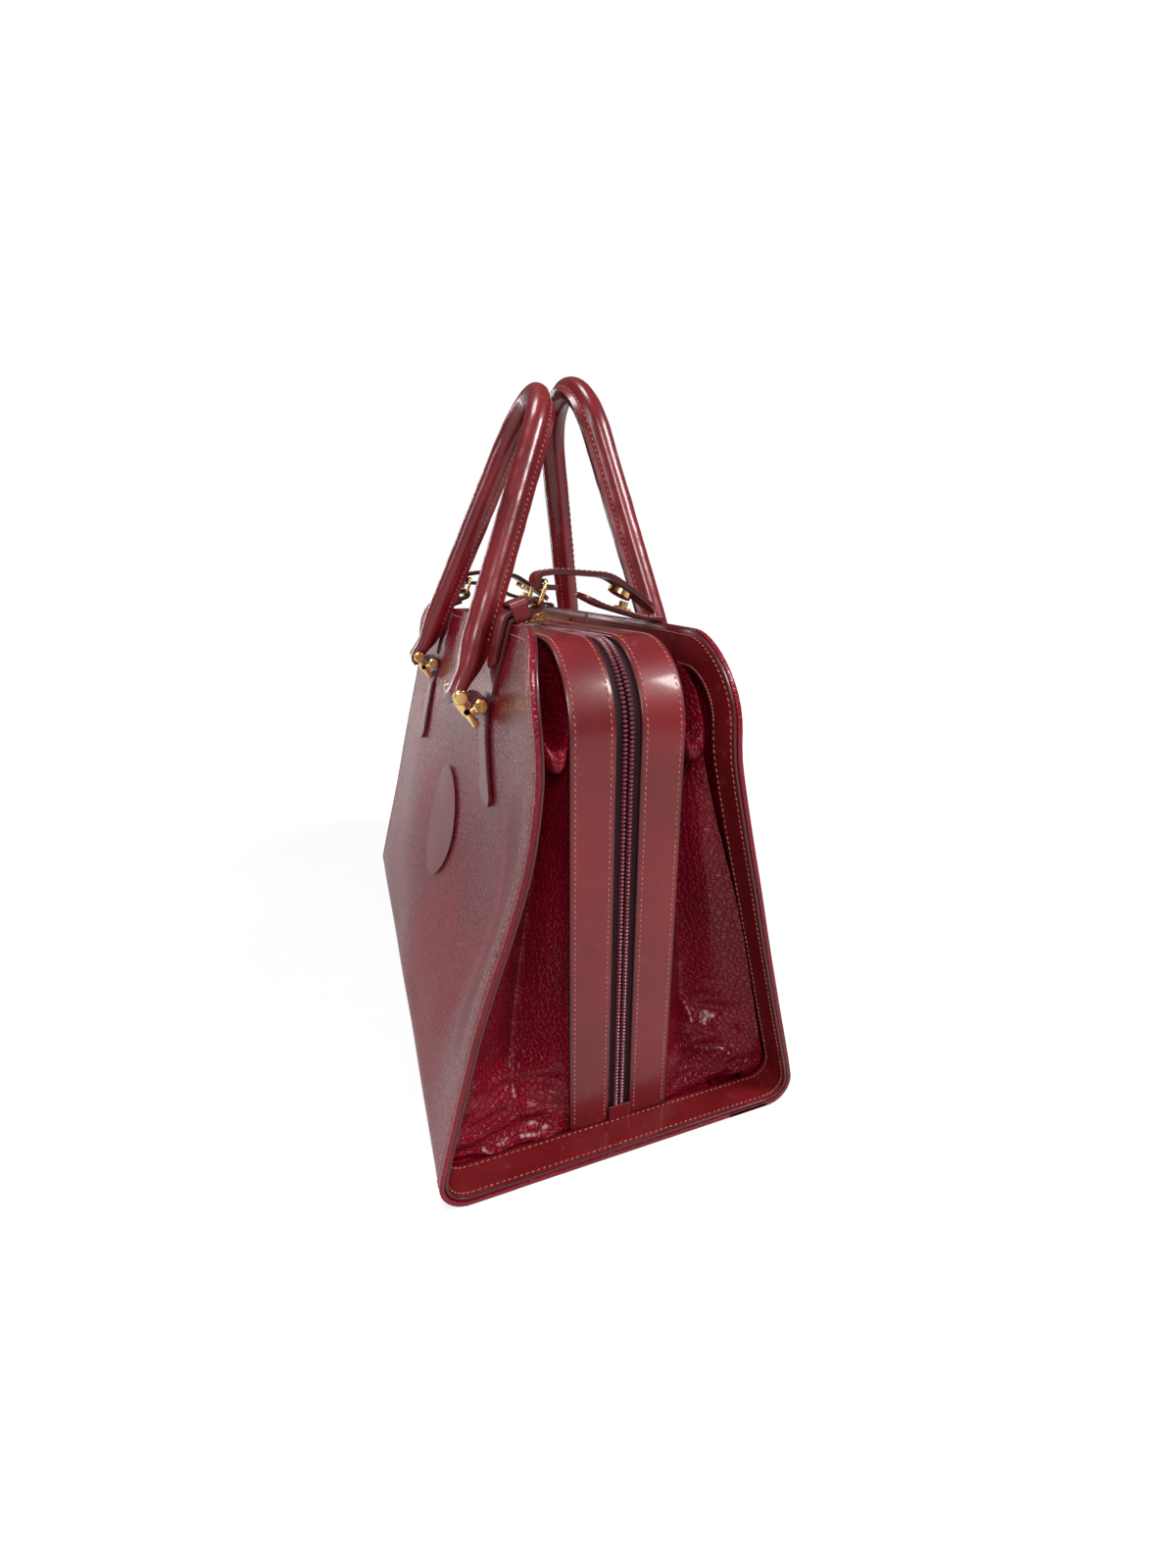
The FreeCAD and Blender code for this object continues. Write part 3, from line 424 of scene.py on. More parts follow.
def smooth_leather(name, light, dark, edge, gloss=0.36, wrinkle=0.12):
    """Smooth vegetable-tanned leather with a fine grain and a painted edge."""
    finish = Finish(name, Coat_Weight=0.40, Coat_Roughness=0.14, Specular_IOR_Level=0.42)
    grain = finish.cells(1 / 0.0007, 0.4)
    creases = finish.noise(260.0, 5.0, 0.6)
    clouds = finish.noise(22.0, 4.0, 0.6)
    scuffs = finish.noise(95.0, 6.0, 0.7).clipped(0.60, 0.78)
    tone = finish.blend(clouds.clipped(0.25, 0.75), dark, light)
    tone = finish.blend(scuffs * 0.22, tone, colour(190, 130, 120))
    tone = finish.blend(finish.across().clipped(0.86, 0.97) * 0.85, tone, edge)
    rough = gloss + clouds * 0.14 + scuffs * 0.16
    height = grain * 0.35 + creases * wrinkle * 4
    return finish.done(Base_Color=tone, Roughness=rough, Normal=finish.bump(height, 0.35, 0.0003))


def thread_finish():
    """Waxed thread of twisted strands."""
    finish = Finish("waxed_thread", Specular_IOR_Level=0.4)
    twist = (finish.noise(900.0, 2.0) * 14).wave()
    tone = finish.blend(twist * 0.5 + 0.5, colour(128, 62, 60), colour(196, 122, 112))
    return finish.done(Base_Color=tone, Roughness=0.5 + twist * 0.08, Normal=finish.bump(twist, 0.3, 0.0001))


def weave_finish(name, light, dark, pitch):
    """Closely woven tape or cloth, following the sheet."""
    finish = Finish(name, Specular_IOR_Level=0.3)
    spread, depth, height = (finish.node("ShaderNodeSeparateXYZ", {"Vector": finish.place}, axis)
                             for axis in "XYZ")
    turn = 2 * math.pi / pitch
    warp, weft = ((spread + height) * turn).wave(), (depth * turn).wave()
    weave = warp * weft * 0.5 + 0.5
    fuzz = finish.noise(700.0, 3.0)
    tone = finish.blend((weave * 0.6 + fuzz * 0.5).clipped(0.2, 0.9), dark, light)
    return finish.done(Base_Color=tone, Roughness=0.72 + fuzz * 0.15,
                       Normal=finish.bump(weave + fuzz * 0.3, 0.5, pitch * 0.25))


def nylon_finish():
    """Moulded nylon coil."""
    finish = Finish("coil_nylon", Specular_IOR_Level=0.6, Coat_Weight=0.5, Coat_Roughness=0.1)
    smear = finish.noise(400.0, 3.0)
    tone = finish.blend(smear, colour(84, 30, 42), colour(132, 66, 78))
    return finish.done(Base_Color=tone, Roughness=0.20 + smear * 0.15,
                       Normal=finish.bump(smear, 0.15, 0.0002))


def brass_finish():
    """Polished gold-plated brass with fine brushed wear."""
    finish = Finish("polished_gold_brass", Metallic=1.0)
    stretched = finish.node("ShaderNodeMapping", {"Vector": finish.place, "Scale": (1.0, 6.0, 6.0)})
    brushed = finish.noise(420.0, 4.0, 0.6, stretched)
    smudges = finish.noise(60.0, 4.0, 0.6)
    tone = finish.blend(smudges.clipped(0.35, 0.7), colour(250, 214, 150), colour(236, 186, 118))
    rough = 0.13 + smudges * 0.12 + brushed.clipped(0.55, 0.8) * 0.10
    return finish.done(Base_Color=tone, Roughness=rough, Normal=finish.bump(brushed, 0.06, 0.0002))


def board_finish():
    """Grey stiffening board under a lining."""
    finish = Finish("lined_board", Specular_IOR_Level=0.25)
    fibres = finish.noise(300.0, 5.0, 0.65)
    tone = finish.blend(fibres, colour(92, 62, 56), colour(120, 88, 78))
    return finish.done(Base_Color=tone, Roughness=0.8 + fibres * 0.1, Normal=finish.bump(fibres, 0.3, 0.0004))


CRIMSON = pebbled_leather("crimson_pebbled_leather", colour(140, 10, 38), colour(80, 4, 20), 0.0024, 0.55)
DEEP_CRIMSON = pebbled_leather("deep_pebbled_leather", colour(140, 8, 38), colour(66, 2, 16), 0.0032, 0.85)
OXBLOOD = smooth_leather("oxblood_smooth_leather", colour(124, 28, 34), colour(92, 16, 22),
                         colour(64, 14, 18))
ROLLED = smooth_leather("rolled_handle_leather", colour(128, 30, 38), colour(88, 16, 24), colour(70, 16, 20),
                        gloss=0.26, wrinkle=0.2)
THREAD = thread_finish()
TAPE = weave_finish("plum_zip_tape", colour(58, 24, 32), colour(20, 6, 10), 0.0009)
LINING = weave_finish("wine_lining_cloth", colour(112, 62, 66), colour(70, 32, 38), 0.0007)
NYLON = nylon_finish()
BRASS = brass_finish()
BOARD = board_finish()


# ---- walls, base and trim ----

def wall_lay(sign, first, last, thick, inset, corner=TOP_CORNER, trim=0.0):
    """Lay of a wall sheet from its top edge to the base seam, with rounded top corners."""
    straight = 1 - corner / (HALF_LENGTH - trim)
    knee = 0.78

    def lay(s, t, h):
        across = 2 * t - 1
        share = abs(across)
        angle = max(0.0, (share - knee) / (1 - knee)) * math.pi / 2
        out = straight * min(share / knee, 1.0) + (1 - straight) * math.sin(angle)
        start = first + corner * (1 - math.cos(angle))
        along = start + s * (last - start)
        mark = along if sign < 0 else WRAP.length - along
        height = WRAP.at(mark)[0].y
        x = math.copysign(out, across) * (half_length(height) - trim)
        return wrap_spot(x, mark, inset + thick * h)
    return lay


def edge_line(end, inset):
    """Edge of the wrap around one end, in its own flat plane: across the bag and along the wrap."""
    top, low = half_length(WALL_TOP) - inset, HALF_LENGTH - inset
    points = [(0.0, inset), (top, inset), (low, FRONT_SEAM - 0.02), (low, FRONT_SEAM + BASE_ACROSS + 0.02),
              (top, WRAP.length - inset), (0.0, WRAP.length - inset)]
    radii = [TOP_CORNER - inset, 0.05, 0.05, TOP_CORNER - inset]
    return Line([(end * x, along) for x, along in points], radii)


def trim_lay(end):
    """Lay of the smooth strip that lines the wrap's edge around one end."""
    line = edge_line(end, 0.0006)

    def lay(s, t, h):
        spot, run = line.at(s * line.length)
        inner = spot + Vector((-run.y, run.x)) * end * TRIM_WIDE * t
        return wrap_spot(inner.x, inner.y, TRIM_INSET - TRIM_THICK * h)
    return lay


def edge_lay(end, inset):
    """Lay along the wrap's outer face just inside its edge around one end."""
    line = edge_line(end, 0.0)

    def lay(s, t, h):
        spot, run = line.at(s * line.length)
        inner = spot + Vector((-run.y, run.x)) * end * (inset + 0.002 * (t - 0.5))
        return wrap_spot(inner.x, inner.y, 0.001 * h)
    return lay


def make_walls():
    """Front and back walls with their linings."""
    for side, facts in SIDES.items():
        lay = wall_lay(facts["sign"], 0.0, FRONT_SEAM, WALL_THICK, 0.0)
        finished("%s_wall" % side, slab(lay, 96, 110, edge=0.0008), CRIMSON,
                 ["%s_panel" % side])
        top, foot = 0.027, wrap_at_height(-1, 0.024)
        lining = wall_lay(facts["sign"], top, foot, 0.0008, WALL_THICK + 0.0002, corner=0.02, trim=0.050)
        finished("%s_wall_lining" % side, slab(lining, 40, 50, edge=0.0), LINING,
                 ["%s_lining" % side])


def make_base():
    """Base leather and the stiff board inside."""
    def lay(s, t, h):
        x = (2 * t - 1) * HALF_LENGTH
        return wrap_spot(x, FRONT_SEAM + BASE_ACROSS * s, WALL_THICK * h)
    finished("base_leather", slab(lay, 30, 50, edge=0.0004), CRIMSON, ["base_panel"])
    low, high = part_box("base_board")

    def board(s, t, h):
        return Vector((low[0] + (high[0] - low[0]) * s, low[1] + (high[1] - low[1]) * t,
                       high[2] - (high[2] - low[2]) * h))
    finished("stiff_base", slab(board, 12, 8, edge=0.001), BOARD, ["base_board"])


def make_trims():
    """Smooth border strips inside the edges, with their stitches and the wall's own row."""
    for end_name, end in ENDS.items():
        side = "front" if end > 0 else "back"
        lay = trim_lay(end)
        finished("border_%s" % end_name, slab(lay, 240, 6, edge=0.0004), OXBLOOD,
                 ["%s_trim" % side, "base_trim_%s" % end_name])
        inside, outside = bmesh.new(), bmesh.new()
        for across in (0.14, 0.86):
            stitch_row(inside, lay, across, 0.002, 0.998)
        stitch_row(outside, edge_lay(end, 0.0048), 0.5, 0.002, 0.998)
        finished("border_stitches_%s" % end_name, inside, THREAD)
        finished("wall_stitches_%s" % end_name, outside, THREAD)


# ---- zipped centre ----

CENTRE = Line([(CENTRE_END, CENTRE_FOOT), (CENTRE_END, CENTRE_TOP), (-CENTRE_END, CENTRE_TOP),
               (-CENTRE_END, CENTRE_FOOT)], [CENTRE_ROUND, CENTRE_ROUND])


def centre_droop(x):
    """How far the zipped centre sinks between its ends."""
    return 0.0022 * bell(x, 0.0, 0.15)


def centre_lay(sign, inner, wide, outer, thick, first=0.0, last=None, crown=0.0):
    """Lay of a strip that follows the zipped centre beside its slit."""
    last = CENTRE.length if last is None else last

    def lay(s, t, h):
        spot, run = CENTRE.at(first + (last - first) * s)
        out = Vector((run.y, -run.x))
        spot = spot + out * (outer - thick * h - crown * (2 * t - 1) ** 2)
        return Vector((spot.x, sign * (inner + wide * t), spot.y - centre_droop(spot.x) * out.y))
    return lay


def make_bands():
    """Smooth bands either side of the zip, with two rows of stitches each."""
    for side, facts in SIDES.items():
        lay = centre_lay(facts["sign"], BAND_INNER - 0.0008, BAND_WIDE + 0.0008, BAND_THICK + 0.0003,
                         BAND_THICK, crown=0.0003)
        finished("%s_smooth_band" % side, slab(lay, 200, 8, edge=0.0006), OXBLOOD,
                 ["%s_band" % side])
        bm = bmesh.new()
        for across in (0.12, 0.88):
            stitch_row(bm, lay, across, 0.004, 0.996)
        finished("%s_band_stitches" % side, bm, THREAD)


def make_zip():
    """Woven tapes and the nylon coil."""
    for side, facts in SIDES.items():
        sign = facts["sign"]
        tape = centre_lay(sign, TAPE_INNER, TAPE_WIDE, -0.0001, TAPE_THICK)
        finished("%s_tape" % side, slab(tape, 160, 4, edge=0.0), TAPE,
                 ["%s_zip_tape" % side])
        bm = bmesh.new()
        stagger = 0.5 if sign > 0 else 1.0
        for index in range(TEETH):
            spot, run = CENTRE.at(CENTRE.length * (index + stagger) / (TEETH + 1))
            out = Vector((run.y, -run.x))
            spot = spot + out * 0.0009
            centre = Vector((spot.x, sign * 0.0016, spot.y - centre_droop(spot.x) * out.y))
            along, up = Vector((run.x, 0, run.y)), Vector((out.x, 0, out.y))
            axes = Matrix((along, up.cross(along), up)).transposed().to_4x4()
            place = Matrix.Translation(centre) @ axes @ Matrix.Diagonal((*TOOTH_HALF, 1))
            bmesh.ops.create_icosphere(bm, subdivisions=1, radius=1.0, matrix=place)
        finished("%s_coil" % side, bm, NYLON, ["%s_zip_coil" % side])
    for end_name, end in ENDS.items():
        first, last = (0.0, ZIP_FOOT) if end > 0 else (CENTRE.length - ZIP_FOOT, CENTRE.length)
        lay = centre_lay(1, -0.0064, 0.0128, 0.0033, 0.0008, first, last)
        finished("zip_foot_%s" % end_name, slab(lay, 12, 8, edge=0.0003), OXBLOOD,
                 ["zip_end_tab_%s" % end_name])


# ---- folded gussets ----

LEG_TOP = CENTRE_TOP - CENTRE_ROUND - CENTRE_FOOT
VALLEY_END, VALLEY_TOP = CENTRE_END - FOLD_DEPTH, CENTRE_TOP - FOLD_DEPTH
VALLEY_LEG = Line([(CENTRE_END - 0.0005, CENTRE_FOOT), (VALLEY_END, 0.050), (VALLEY_END, 0.186),
                   (VALLEY_END + 0.002, 0.200)], [0.006, 0.03])
VALLEY_LIP = Line([(VALLEY_END + 0.002, 0.200), (CENTRE_END + 0.003, 0.2045), (CENTRE_END + 0.0025, 0.2140),
                   (0.150, 0.2125), (0.118, VALLEY_TOP)], [0.0042, 0.0042, 0.02])
LEG_SHARE, LIP_END = LEG_TOP - 0.010, LEG_TOP + CENTRE_ROUND * math.pi / 2 + 0.006


def valley_spot(along):
    """Bottom of the gusset's fold beside a distance along the zipped centre, measured from either foot."""
    if along < LEG_SHARE:
        return VALLEY_LEG.at(along / LEG_SHARE * VALLEY_LEG.length)[0]
    if along < LIP_END:
        return VALLEY_LIP.at((along - LEG_SHARE) / (LIP_END - LEG_SHARE) * VALLEY_LIP.length)[0]
    share = (along - LIP_END) / (CENTRE.length / 2 - LIP_END)
    return Vector((0.118 * (1 - share), VALLEY_TOP))


def gusset_lay(sign):
    """Lay of the soft gusset: from under a band, down into its fold and out to the wall."""
    def lay(s, t, h):
        along = CENTRE.length * s
        spot, run = CENTRE.at(along)
        out = Vector((run.y, -run.x))
        height = spot.y
        near = min(along, CENTRE.length - along)
        lip = ramp(near, LEG_SHARE - 0.012, LEG_SHARE + 0.004) \
            * (1 - ramp(near, LIP_END - 0.02, LIP_END + 0.02))
        drop = 0.0005 + 0.0115 * ramp(height, 0.10, 0.215)
        wall = spot - out * drop
        band_edge = Vector((spot.x, sign * 0.0268, spot.y - 0.0004 - centre_droop(spot.x) * out.y))
        wall_edge = wrap_spot(wall.x, wrap_at_height(sign, wall.y), 0.0046)
        arch = 1 - abs(2 * t ** 0.84 - 1) ** (1.06 + 1.5 * lip)
        end_share = ramp(abs(spot.x), CENTRE_END - CENTRE_ROUND, CENTRE_END)
        crumple = 0.0034 * (1 - ramp(height, 0.030, 0.080)) + 0.0012 * bell(height, 0.205, 0.05) * end_share
        ripple = noise.noise(Vector((s * 110 + sign * 3, t * 3.6, spot.x * 3)))
        billow = 0.0035 * bell(t, 0.72, 0.24) * bell(height, 0.130, 0.09) * end_share
        billow += 0.0030 * bell(t, 0.25, 0.22) * bell(height, 0.120, 0.10) * end_share
        point = band_edge.lerp(wall_edge, t)
        flat = valley_spot(near)
        valley = Vector((math.copysign(flat.x, spot.x), point.y, flat.y))
        point = point.lerp(valley, arch)
        wrinkle = crumple * 1.6 * ripple * math.sin(math.pi * t)
        return point + Vector((out.x, 0, out.y)) * (billow + wrinkle - GUSSET_THICK * h)
    return lay


def make_gussets():
    """Soft folded gussets on both sides of the zipped centre."""
    for side, facts in SIDES.items():
        finished("%s_fold" % side, slab(gusset_lay(facts["sign"]), 480, 40, edge=0.0), DEEP_CRIMSON,
                 ["%s_gusset" % side])


# ---- patch and pocket ----

def make_patch():
    """Plain oval patch: one thin sheet that stands a little off the front wall."""
    bm = bmesh.new()
    bmesh.ops.create_circle(bm, cap_ends=True, segments=96, radius=1.0)
    bmesh.ops.scale(bm, verts=bm.verts, vec=(PATCH_WIDE / 2, PATCH_TALL / 2, 1.0))
    bmesh.ops.poke(bm, faces=bm.faces[:])
    centre = wrap_at_height(-1, PATCH_MIDDLE)
    for vert in bm.verts:
        vert.co = wrap_spot(vert.co.x, centre - vert.co.y, -PATCH_LIFT)
    bmesh.ops.recalc_face_normals(bm, faces=bm.faces)
    finished("oval_emblem", bm, OXBLOOD, ["oval_patch"])


def make_pocket():
    """Slip pocket on the back lining."""
    low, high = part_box("inner_pocket")
    top, foot = wrap_at_height(1, high[2]), wrap_at_height(1, low[2])

    def lay(s, t, h):
        x = low[0] + (high[0] - low[0]) * t
        belly = 0.0015 * math.sin(math.pi * t) * ramp(s, 0.0, 0.6)
        return wrap_spot(x, top + (foot - top) * s, WALL_THICK + 0.0022 + belly - 0.0008 * h)
    make_strap("slip_pocket", lay, LINING, ["inner_pocket"], steps=(24, 30), rows=())


# ---- tabs, straps and keepers ----

def make_tab(side, facts, end_name, end):
    """Stitched tongue on a wall with its head folded round the clip's lower pin."""
    depth, height = facts["lower_eye"]
    foot = wrap_at_height(-1, TAB_FOOT)
    points = []
    for share in (0.0, 0.25, 0.5, 0.75, 1.0):
        spot = wrap_spot(TAB_PLACE, foot + (wrap_at_height(-1, height - 0.004) - foot) * share)
        points.append((spot.y - 0.0016, spot.z))
    eye = Vector((-depth, height))
    curl = 0.0032
    points += [(eye.x + curl + 0.0012, eye.y + curl), (eye.x - curl, eye.y + curl),
               (eye.x - curl, eye.y - curl), (eye.x + 0.0012, eye.y - curl)]
    if side == "back":
        points = [(-wrap_mirror(TAB_PLACE, z), z) if i < 5 else (y, z) for i, (y, z) in enumerate(points)]
    line = Line(points, [0.02, 0.02, 0.02, 0.004, curl, curl, curl])
    place = Matrix.Rotation(math.pi if side == "back" else 0.0, 4, "Z")
    middle = TAB_PLACE * end * (-1 if side == "back" else 1)
    flat = strap_lay(line, middle, TAB_WIDE, TAB_THICK - 0.0004, 1, (TAB_WIDE / 2, 0.0), place)

    def lay(s, t, h):
        point = flat(s, t, h)
        along = wrap_at_height(facts["sign"], point.z)
        lie = wrap_spot(point.x, along).y - wrap_spot(TAB_PLACE, along).y
        return point + Vector((0.0, lie * (1 - ramp(point.z, height - 0.016, height - 0.004)), 0.0))
    make_strap("%s_tongue_%s" % (side, end_name), lay, OXBLOOD,
               ["%s_tab_%s" % (side, end_name)], rows=(0.22, 0.78), span=(0.12, 0.66))


def wrap_mirror(x, height):
    """Depth just outside the back wall at a height."""
    return wrap_spot(x, wrap_at_height(1, height)).y + 0.0016


def outside_wall(side, height, gap):
    """Point (depth away from the zip as negative, height) beside a wall in the strap's plane."""
    sign = SIDES[side]["sign"]
    spot = wrap_spot(STRAP_PLACE, wrap_at_height(sign, height))
    return Vector((sign * -1 * spot.y if sign > 0 else spot.y, spot.z)) - Vector((gap, 0.0))


def make_front_strap(end_name, end):
    """Closing strap: up the front wall, over its edge, round the ring's lower bar and back."""
    thick = STRAP_THICK
    along = turned(Vector((1, 0)), math.radians(19))
    across = Vector((-along.y, along.x))
    bend = RING_WIRE / 2 + thick / 2 + 0.0006
    near, layer = 0.0003 + thick / 2, thick + 0.0005
    edge = WALL_TOP + 0.0016
    run = [outside_wall("front", STRAP_FOOT, near), Vector((-FRONT_TOP - near, edge)),
           RING_BAR + along * bend - across * bend, RING_BAR + along * bend + across * bend,
           RING_BAR - along * 0.008 + across * (bend - 0.0005),
           Vector((-FRONT_TOP - near - layer, edge + 0.002)), outside_wall("front", 0.240, near + layer)]
    line = Line(run, [thick / 2 + 0.0004, bend - 0.0001, bend - 0.0001, 0.020, 0.006])
    lay = strap_lay(line, end * STRAP_PLACE, STRAP_WIDE, thick, 1, (0.0, STRAP_WIDE / 2))
    make_strap("closing_strap_%s" % end_name, lay, OXBLOOD,
               ["front_strap_%s" % end_name], steps=(90, 10), span=(0.52, 0.97))


def make_top_strap(end_name, end):
    """Strap folded round the ring's upper bar that arches over the zip to the snap."""
    thick = STRAP_THICK + 0.0005
    bend = RING_WIRE / 2 + thick / 2 + 0.0006
    bar = RING_TOP
    run = [bar + Vector((0.007, -bend - 0.0002)), bar + Vector((-bend, -bend)), bar + Vector((-bend, bend)),
           bar + Vector((0.008, bend + 0.0016)), (0.020, bar.y + 0.0030), (0.035, bar.y - 0.0058),
           (0.049, bar.y - 0.016)]
    line = Line(run, [bend - 0.0001, bend - 0.0001, 0.020, 0.020, 0.040])
    lay = strap_lay(line, end * STRAP_PLACE, STRAP_WIDE, thick, 1, (0.0, STRAP_WIDE / 2))
    make_strap("arch_strap_%s" % end_name, lay, OXBLOOD, ["top_strap_%s" % end_name],
               "top_strap_%s" % end_name, steps=(90, 10), span=(0.20, 0.95))


def make_back_strap(end_name, end):
    """Short strap from the back wall, over its edge, that carries the snap's stud."""
    thick = STRAP_THICK
    near = 0.0003 + thick / 2
    run = [outside_wall("back", STRAP_FOOT, near), Vector((-BACK_TOP - near, WALL_TOP + 0.0016)),
           (-0.040, WALL_TOP + 0.0024), (-0.016, 0.271), (-0.003, 0.277)]
    line = Line(run, [thick / 2 + 0.0004, 0.015, 0.030])
    place = Matrix.Rotation(math.pi, 4, "Z")
    lay = strap_lay(line, -end * STRAP_PLACE, STRAP_WIDE, thick, 1, (0.0, STRAP_WIDE / 2), place)
    make_strap("stud_strap_%s" % end_name, lay, OXBLOOD, ["back_strap_%s" % end_name],
               steps=(60, 10), span=(0.05, 0.95))


def make_keeper(end_name):
    """Leather keeper around both layers of the closing strap."""
    low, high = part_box("keeper_%s" % end_name)
    middle = [(a + b) / 2 for a, b in zip(low, high)]
    wide, tall, wall = STRAP_WIDE / 2 + 0.0011, 0.0049, 0.0013
    corners = [(0.0, -tall), (wide, -tall), (wide, tall), (-wide, tall), (-wide, -tall), (0.0, -tall)]
    line = Line(corners, [0.0022] * 4)
    place = Matrix.Translation(middle) @ Matrix.Rotation(math.radians(19), 4, "X")

    def lay(s, t, h):
        spot, run = line.at(s * line.length)
        out = Vector((run.y, -run.x))
        spot = spot + out * wall * (0.5 - h)
        return place @ Vector((spot.x, (t - 0.5) * 0.0088, spot.y))
    bm = slab(lay, 72, 6, edge=0.0)
    bmesh.ops.remove_doubles(bm, verts=bm.verts, dist=0.00002)
    finished("strap_keeper_%s" % end_name, bm, OXBLOOD, ["keeper_%s" % end_name])


# ---- handles ----

def handle_place(facts):
    """Where a handle's own plane stands: through the upper pins, leaning inwards."""
    depth, height = facts["upper_eye"]
    turn = Matrix.Rotation(math.pi if facts["sign"] > 0 else 0.0, 4, "Z")
    return turn @ Matrix.Translation((0.0, -depth, height)) \
        @ Matrix.Rotation(math.radians(-facts["lean"]), 4, "X")


def handle_line(rise):
    """Middle of the rolled handle in its own plane, from just below one pin to just below the other."""
    middle = (rise - HANDLE_HALF * math.cos(HANDLE_SLOPE)) / (1 - math.sin(HANDLE_SLOPE))
    foot = HANDLE_HALF + LOOP_RADIUS * math.tan(HANDLE_SLOPE)
    meet = HANDLE_HALF / math.tan(HANDLE_SLOPE)
    return Line([(foot, -LOOP_RADIUS), (0.0, meet), (-foot, -LOOP_RADIUS)], [rise - middle])


def rolled_section(turn, height):
    """Place round the roll at a height above the pins: a flat loop at the foot, a flanged roll above."""
    flat = 1 - ramp(height, 0.002, 0.034)
    wide = HANDLE_RADIUS + (0.0090 - HANDLE_RADIUS) * flat
    deep = HANDLE_RADIUS + (LOOP_RADIUS - HANDLE_RADIUS) * flat
    if height < 0:
        deep *= math.sqrt(max(0.0, 1 - (height / LOOP_RADIUS) ** 2))
    power = 1 - 0.45 * flat
    sine, cosine = math.sin(turn), math.cos(turn)
    side = wide * math.copysign(abs(sine) ** power, sine)
    up = deep * math.copysign(abs(cosine) ** power, cosine)
    flange = ramp(cosine, 0.86, 0.97) * (1 - flat)
    side *= 1 - 0.20 * ramp(cosine, 0.3, 1.0)
    return side, up + (FLANGE_REACH - up) * flange


def handle_tube(line, place, shift, ribs):
    """Rolled leather tube along the handle line."""
    bm = bmesh.new()
    bm.loops.layers.uv.new("Sheet")
    bmesh.ops.create_grid(bm, x_segments=300, y_segments=44, size=0.5, calc_uvs=True)
    for vert in bm.verts:
        s, t = vert.co.x + 0.5, vert.co.y + 0.5
        spot, run = line.at(s * line.length)
        radial = Vector((run.y, -run.x))
        side, up = rolled_section(2 * math.pi * t, spot.y)
        crease = 1 + 0.030 * noise.noise(Vector((s * 46, math.sin(6.283 * t) * 1.2, shift * 900)))
        crease += ribs * 0.05 * max(0.0, math.sin(s * line.length / 0.0007)) * bell(s, 0.22, 0.17) \
            * max(0.0, 0.5 - math.cos(6.283 * t))
        flat = spot + radial * side * crease
        vert.co = place @ Vector((flat.x, shift * ramp(spot.y, 0.0, 0.016) + up * crease, flat.y))
    bmesh.ops.remove_doubles(bm, verts=bm.verts, dist=0.00002)
    open_edges = [edge for edge in bm.edges if edge.is_boundary]
    if open_edges:
        bmesh.ops.holes_fill(bm, edges=open_edges)
    bmesh.ops.recalc_face_normals(bm, faces=bm.faces)
    return bm


def make_handle(side, facts):
    """Rolled handle with its stitched flange."""
    place, shift = handle_place(facts), facts["shift"]
    line = handle_line(facts["rise"])
    body = "%s_handle" % side
    finished("%s_rolled_handle" % side, handle_tube(line, place, shift, 1.0 if side == "back" else 0.0),
             ROLLED, [body, "%s_handle_core" % side], body)
    bm = bmesh.new()
    for face in (1, -1):
        def lay(s, t, h, face=face):
            spot, run = line.at(s * line.length)
            spot = spot + Vector((run.y, -run.x)) * face * (0.0030 - 0.001 * h)
            return place @ Vector((spot.x, shift + 0.0064 + 0.002 * (t - 0.5), spot.y))
        stitch_row(bm, lay, 0.5, 0.085, 0.915, pitch=0.0034)
    finished("%s_handle_stitches" % side, bm, THREAD, (), body)


# ---- clips ----

def add_bar(bm, start, end, radius, middle, thick):
    """Flat bar with round ends in the YZ plane, its edges broken."""
    run = end - start
    made = bmesh.ops.create_circle(bm, cap_ends=True, segments=28, radius=radius)["verts"]
    for vert in made:
        spot = Vector((vert.co.x, vert.co.y))
        spot = spot + (end if spot.dot(run) > 0 else start)
        vert.co = (middle - thick / 2, spot.x, spot.y)
    face = made[0].link_faces[0]
    grown = bmesh.ops.extrude_face_region(bm, geom=[face], use_keep_orig=True)["geom"]
    top = [part for part in grown if isinstance(part, bmesh.types.BMVert)]
    bmesh.ops.translate(bm, verts=top, vec=(thick, 0.0, 0.0))
    rims = {edge for vert in made + top for edge in vert.link_edges
            if abs(edge.verts[0].co.x - edge.verts[1].co.x) < 1e-7}
    bmesh.ops.bevel(bm, geom=list(rims), offset=min(thick, radius) * 0.3, segments=3, profile=0.5,
                    affect="EDGES", material=-1, clamp_overlap=True)


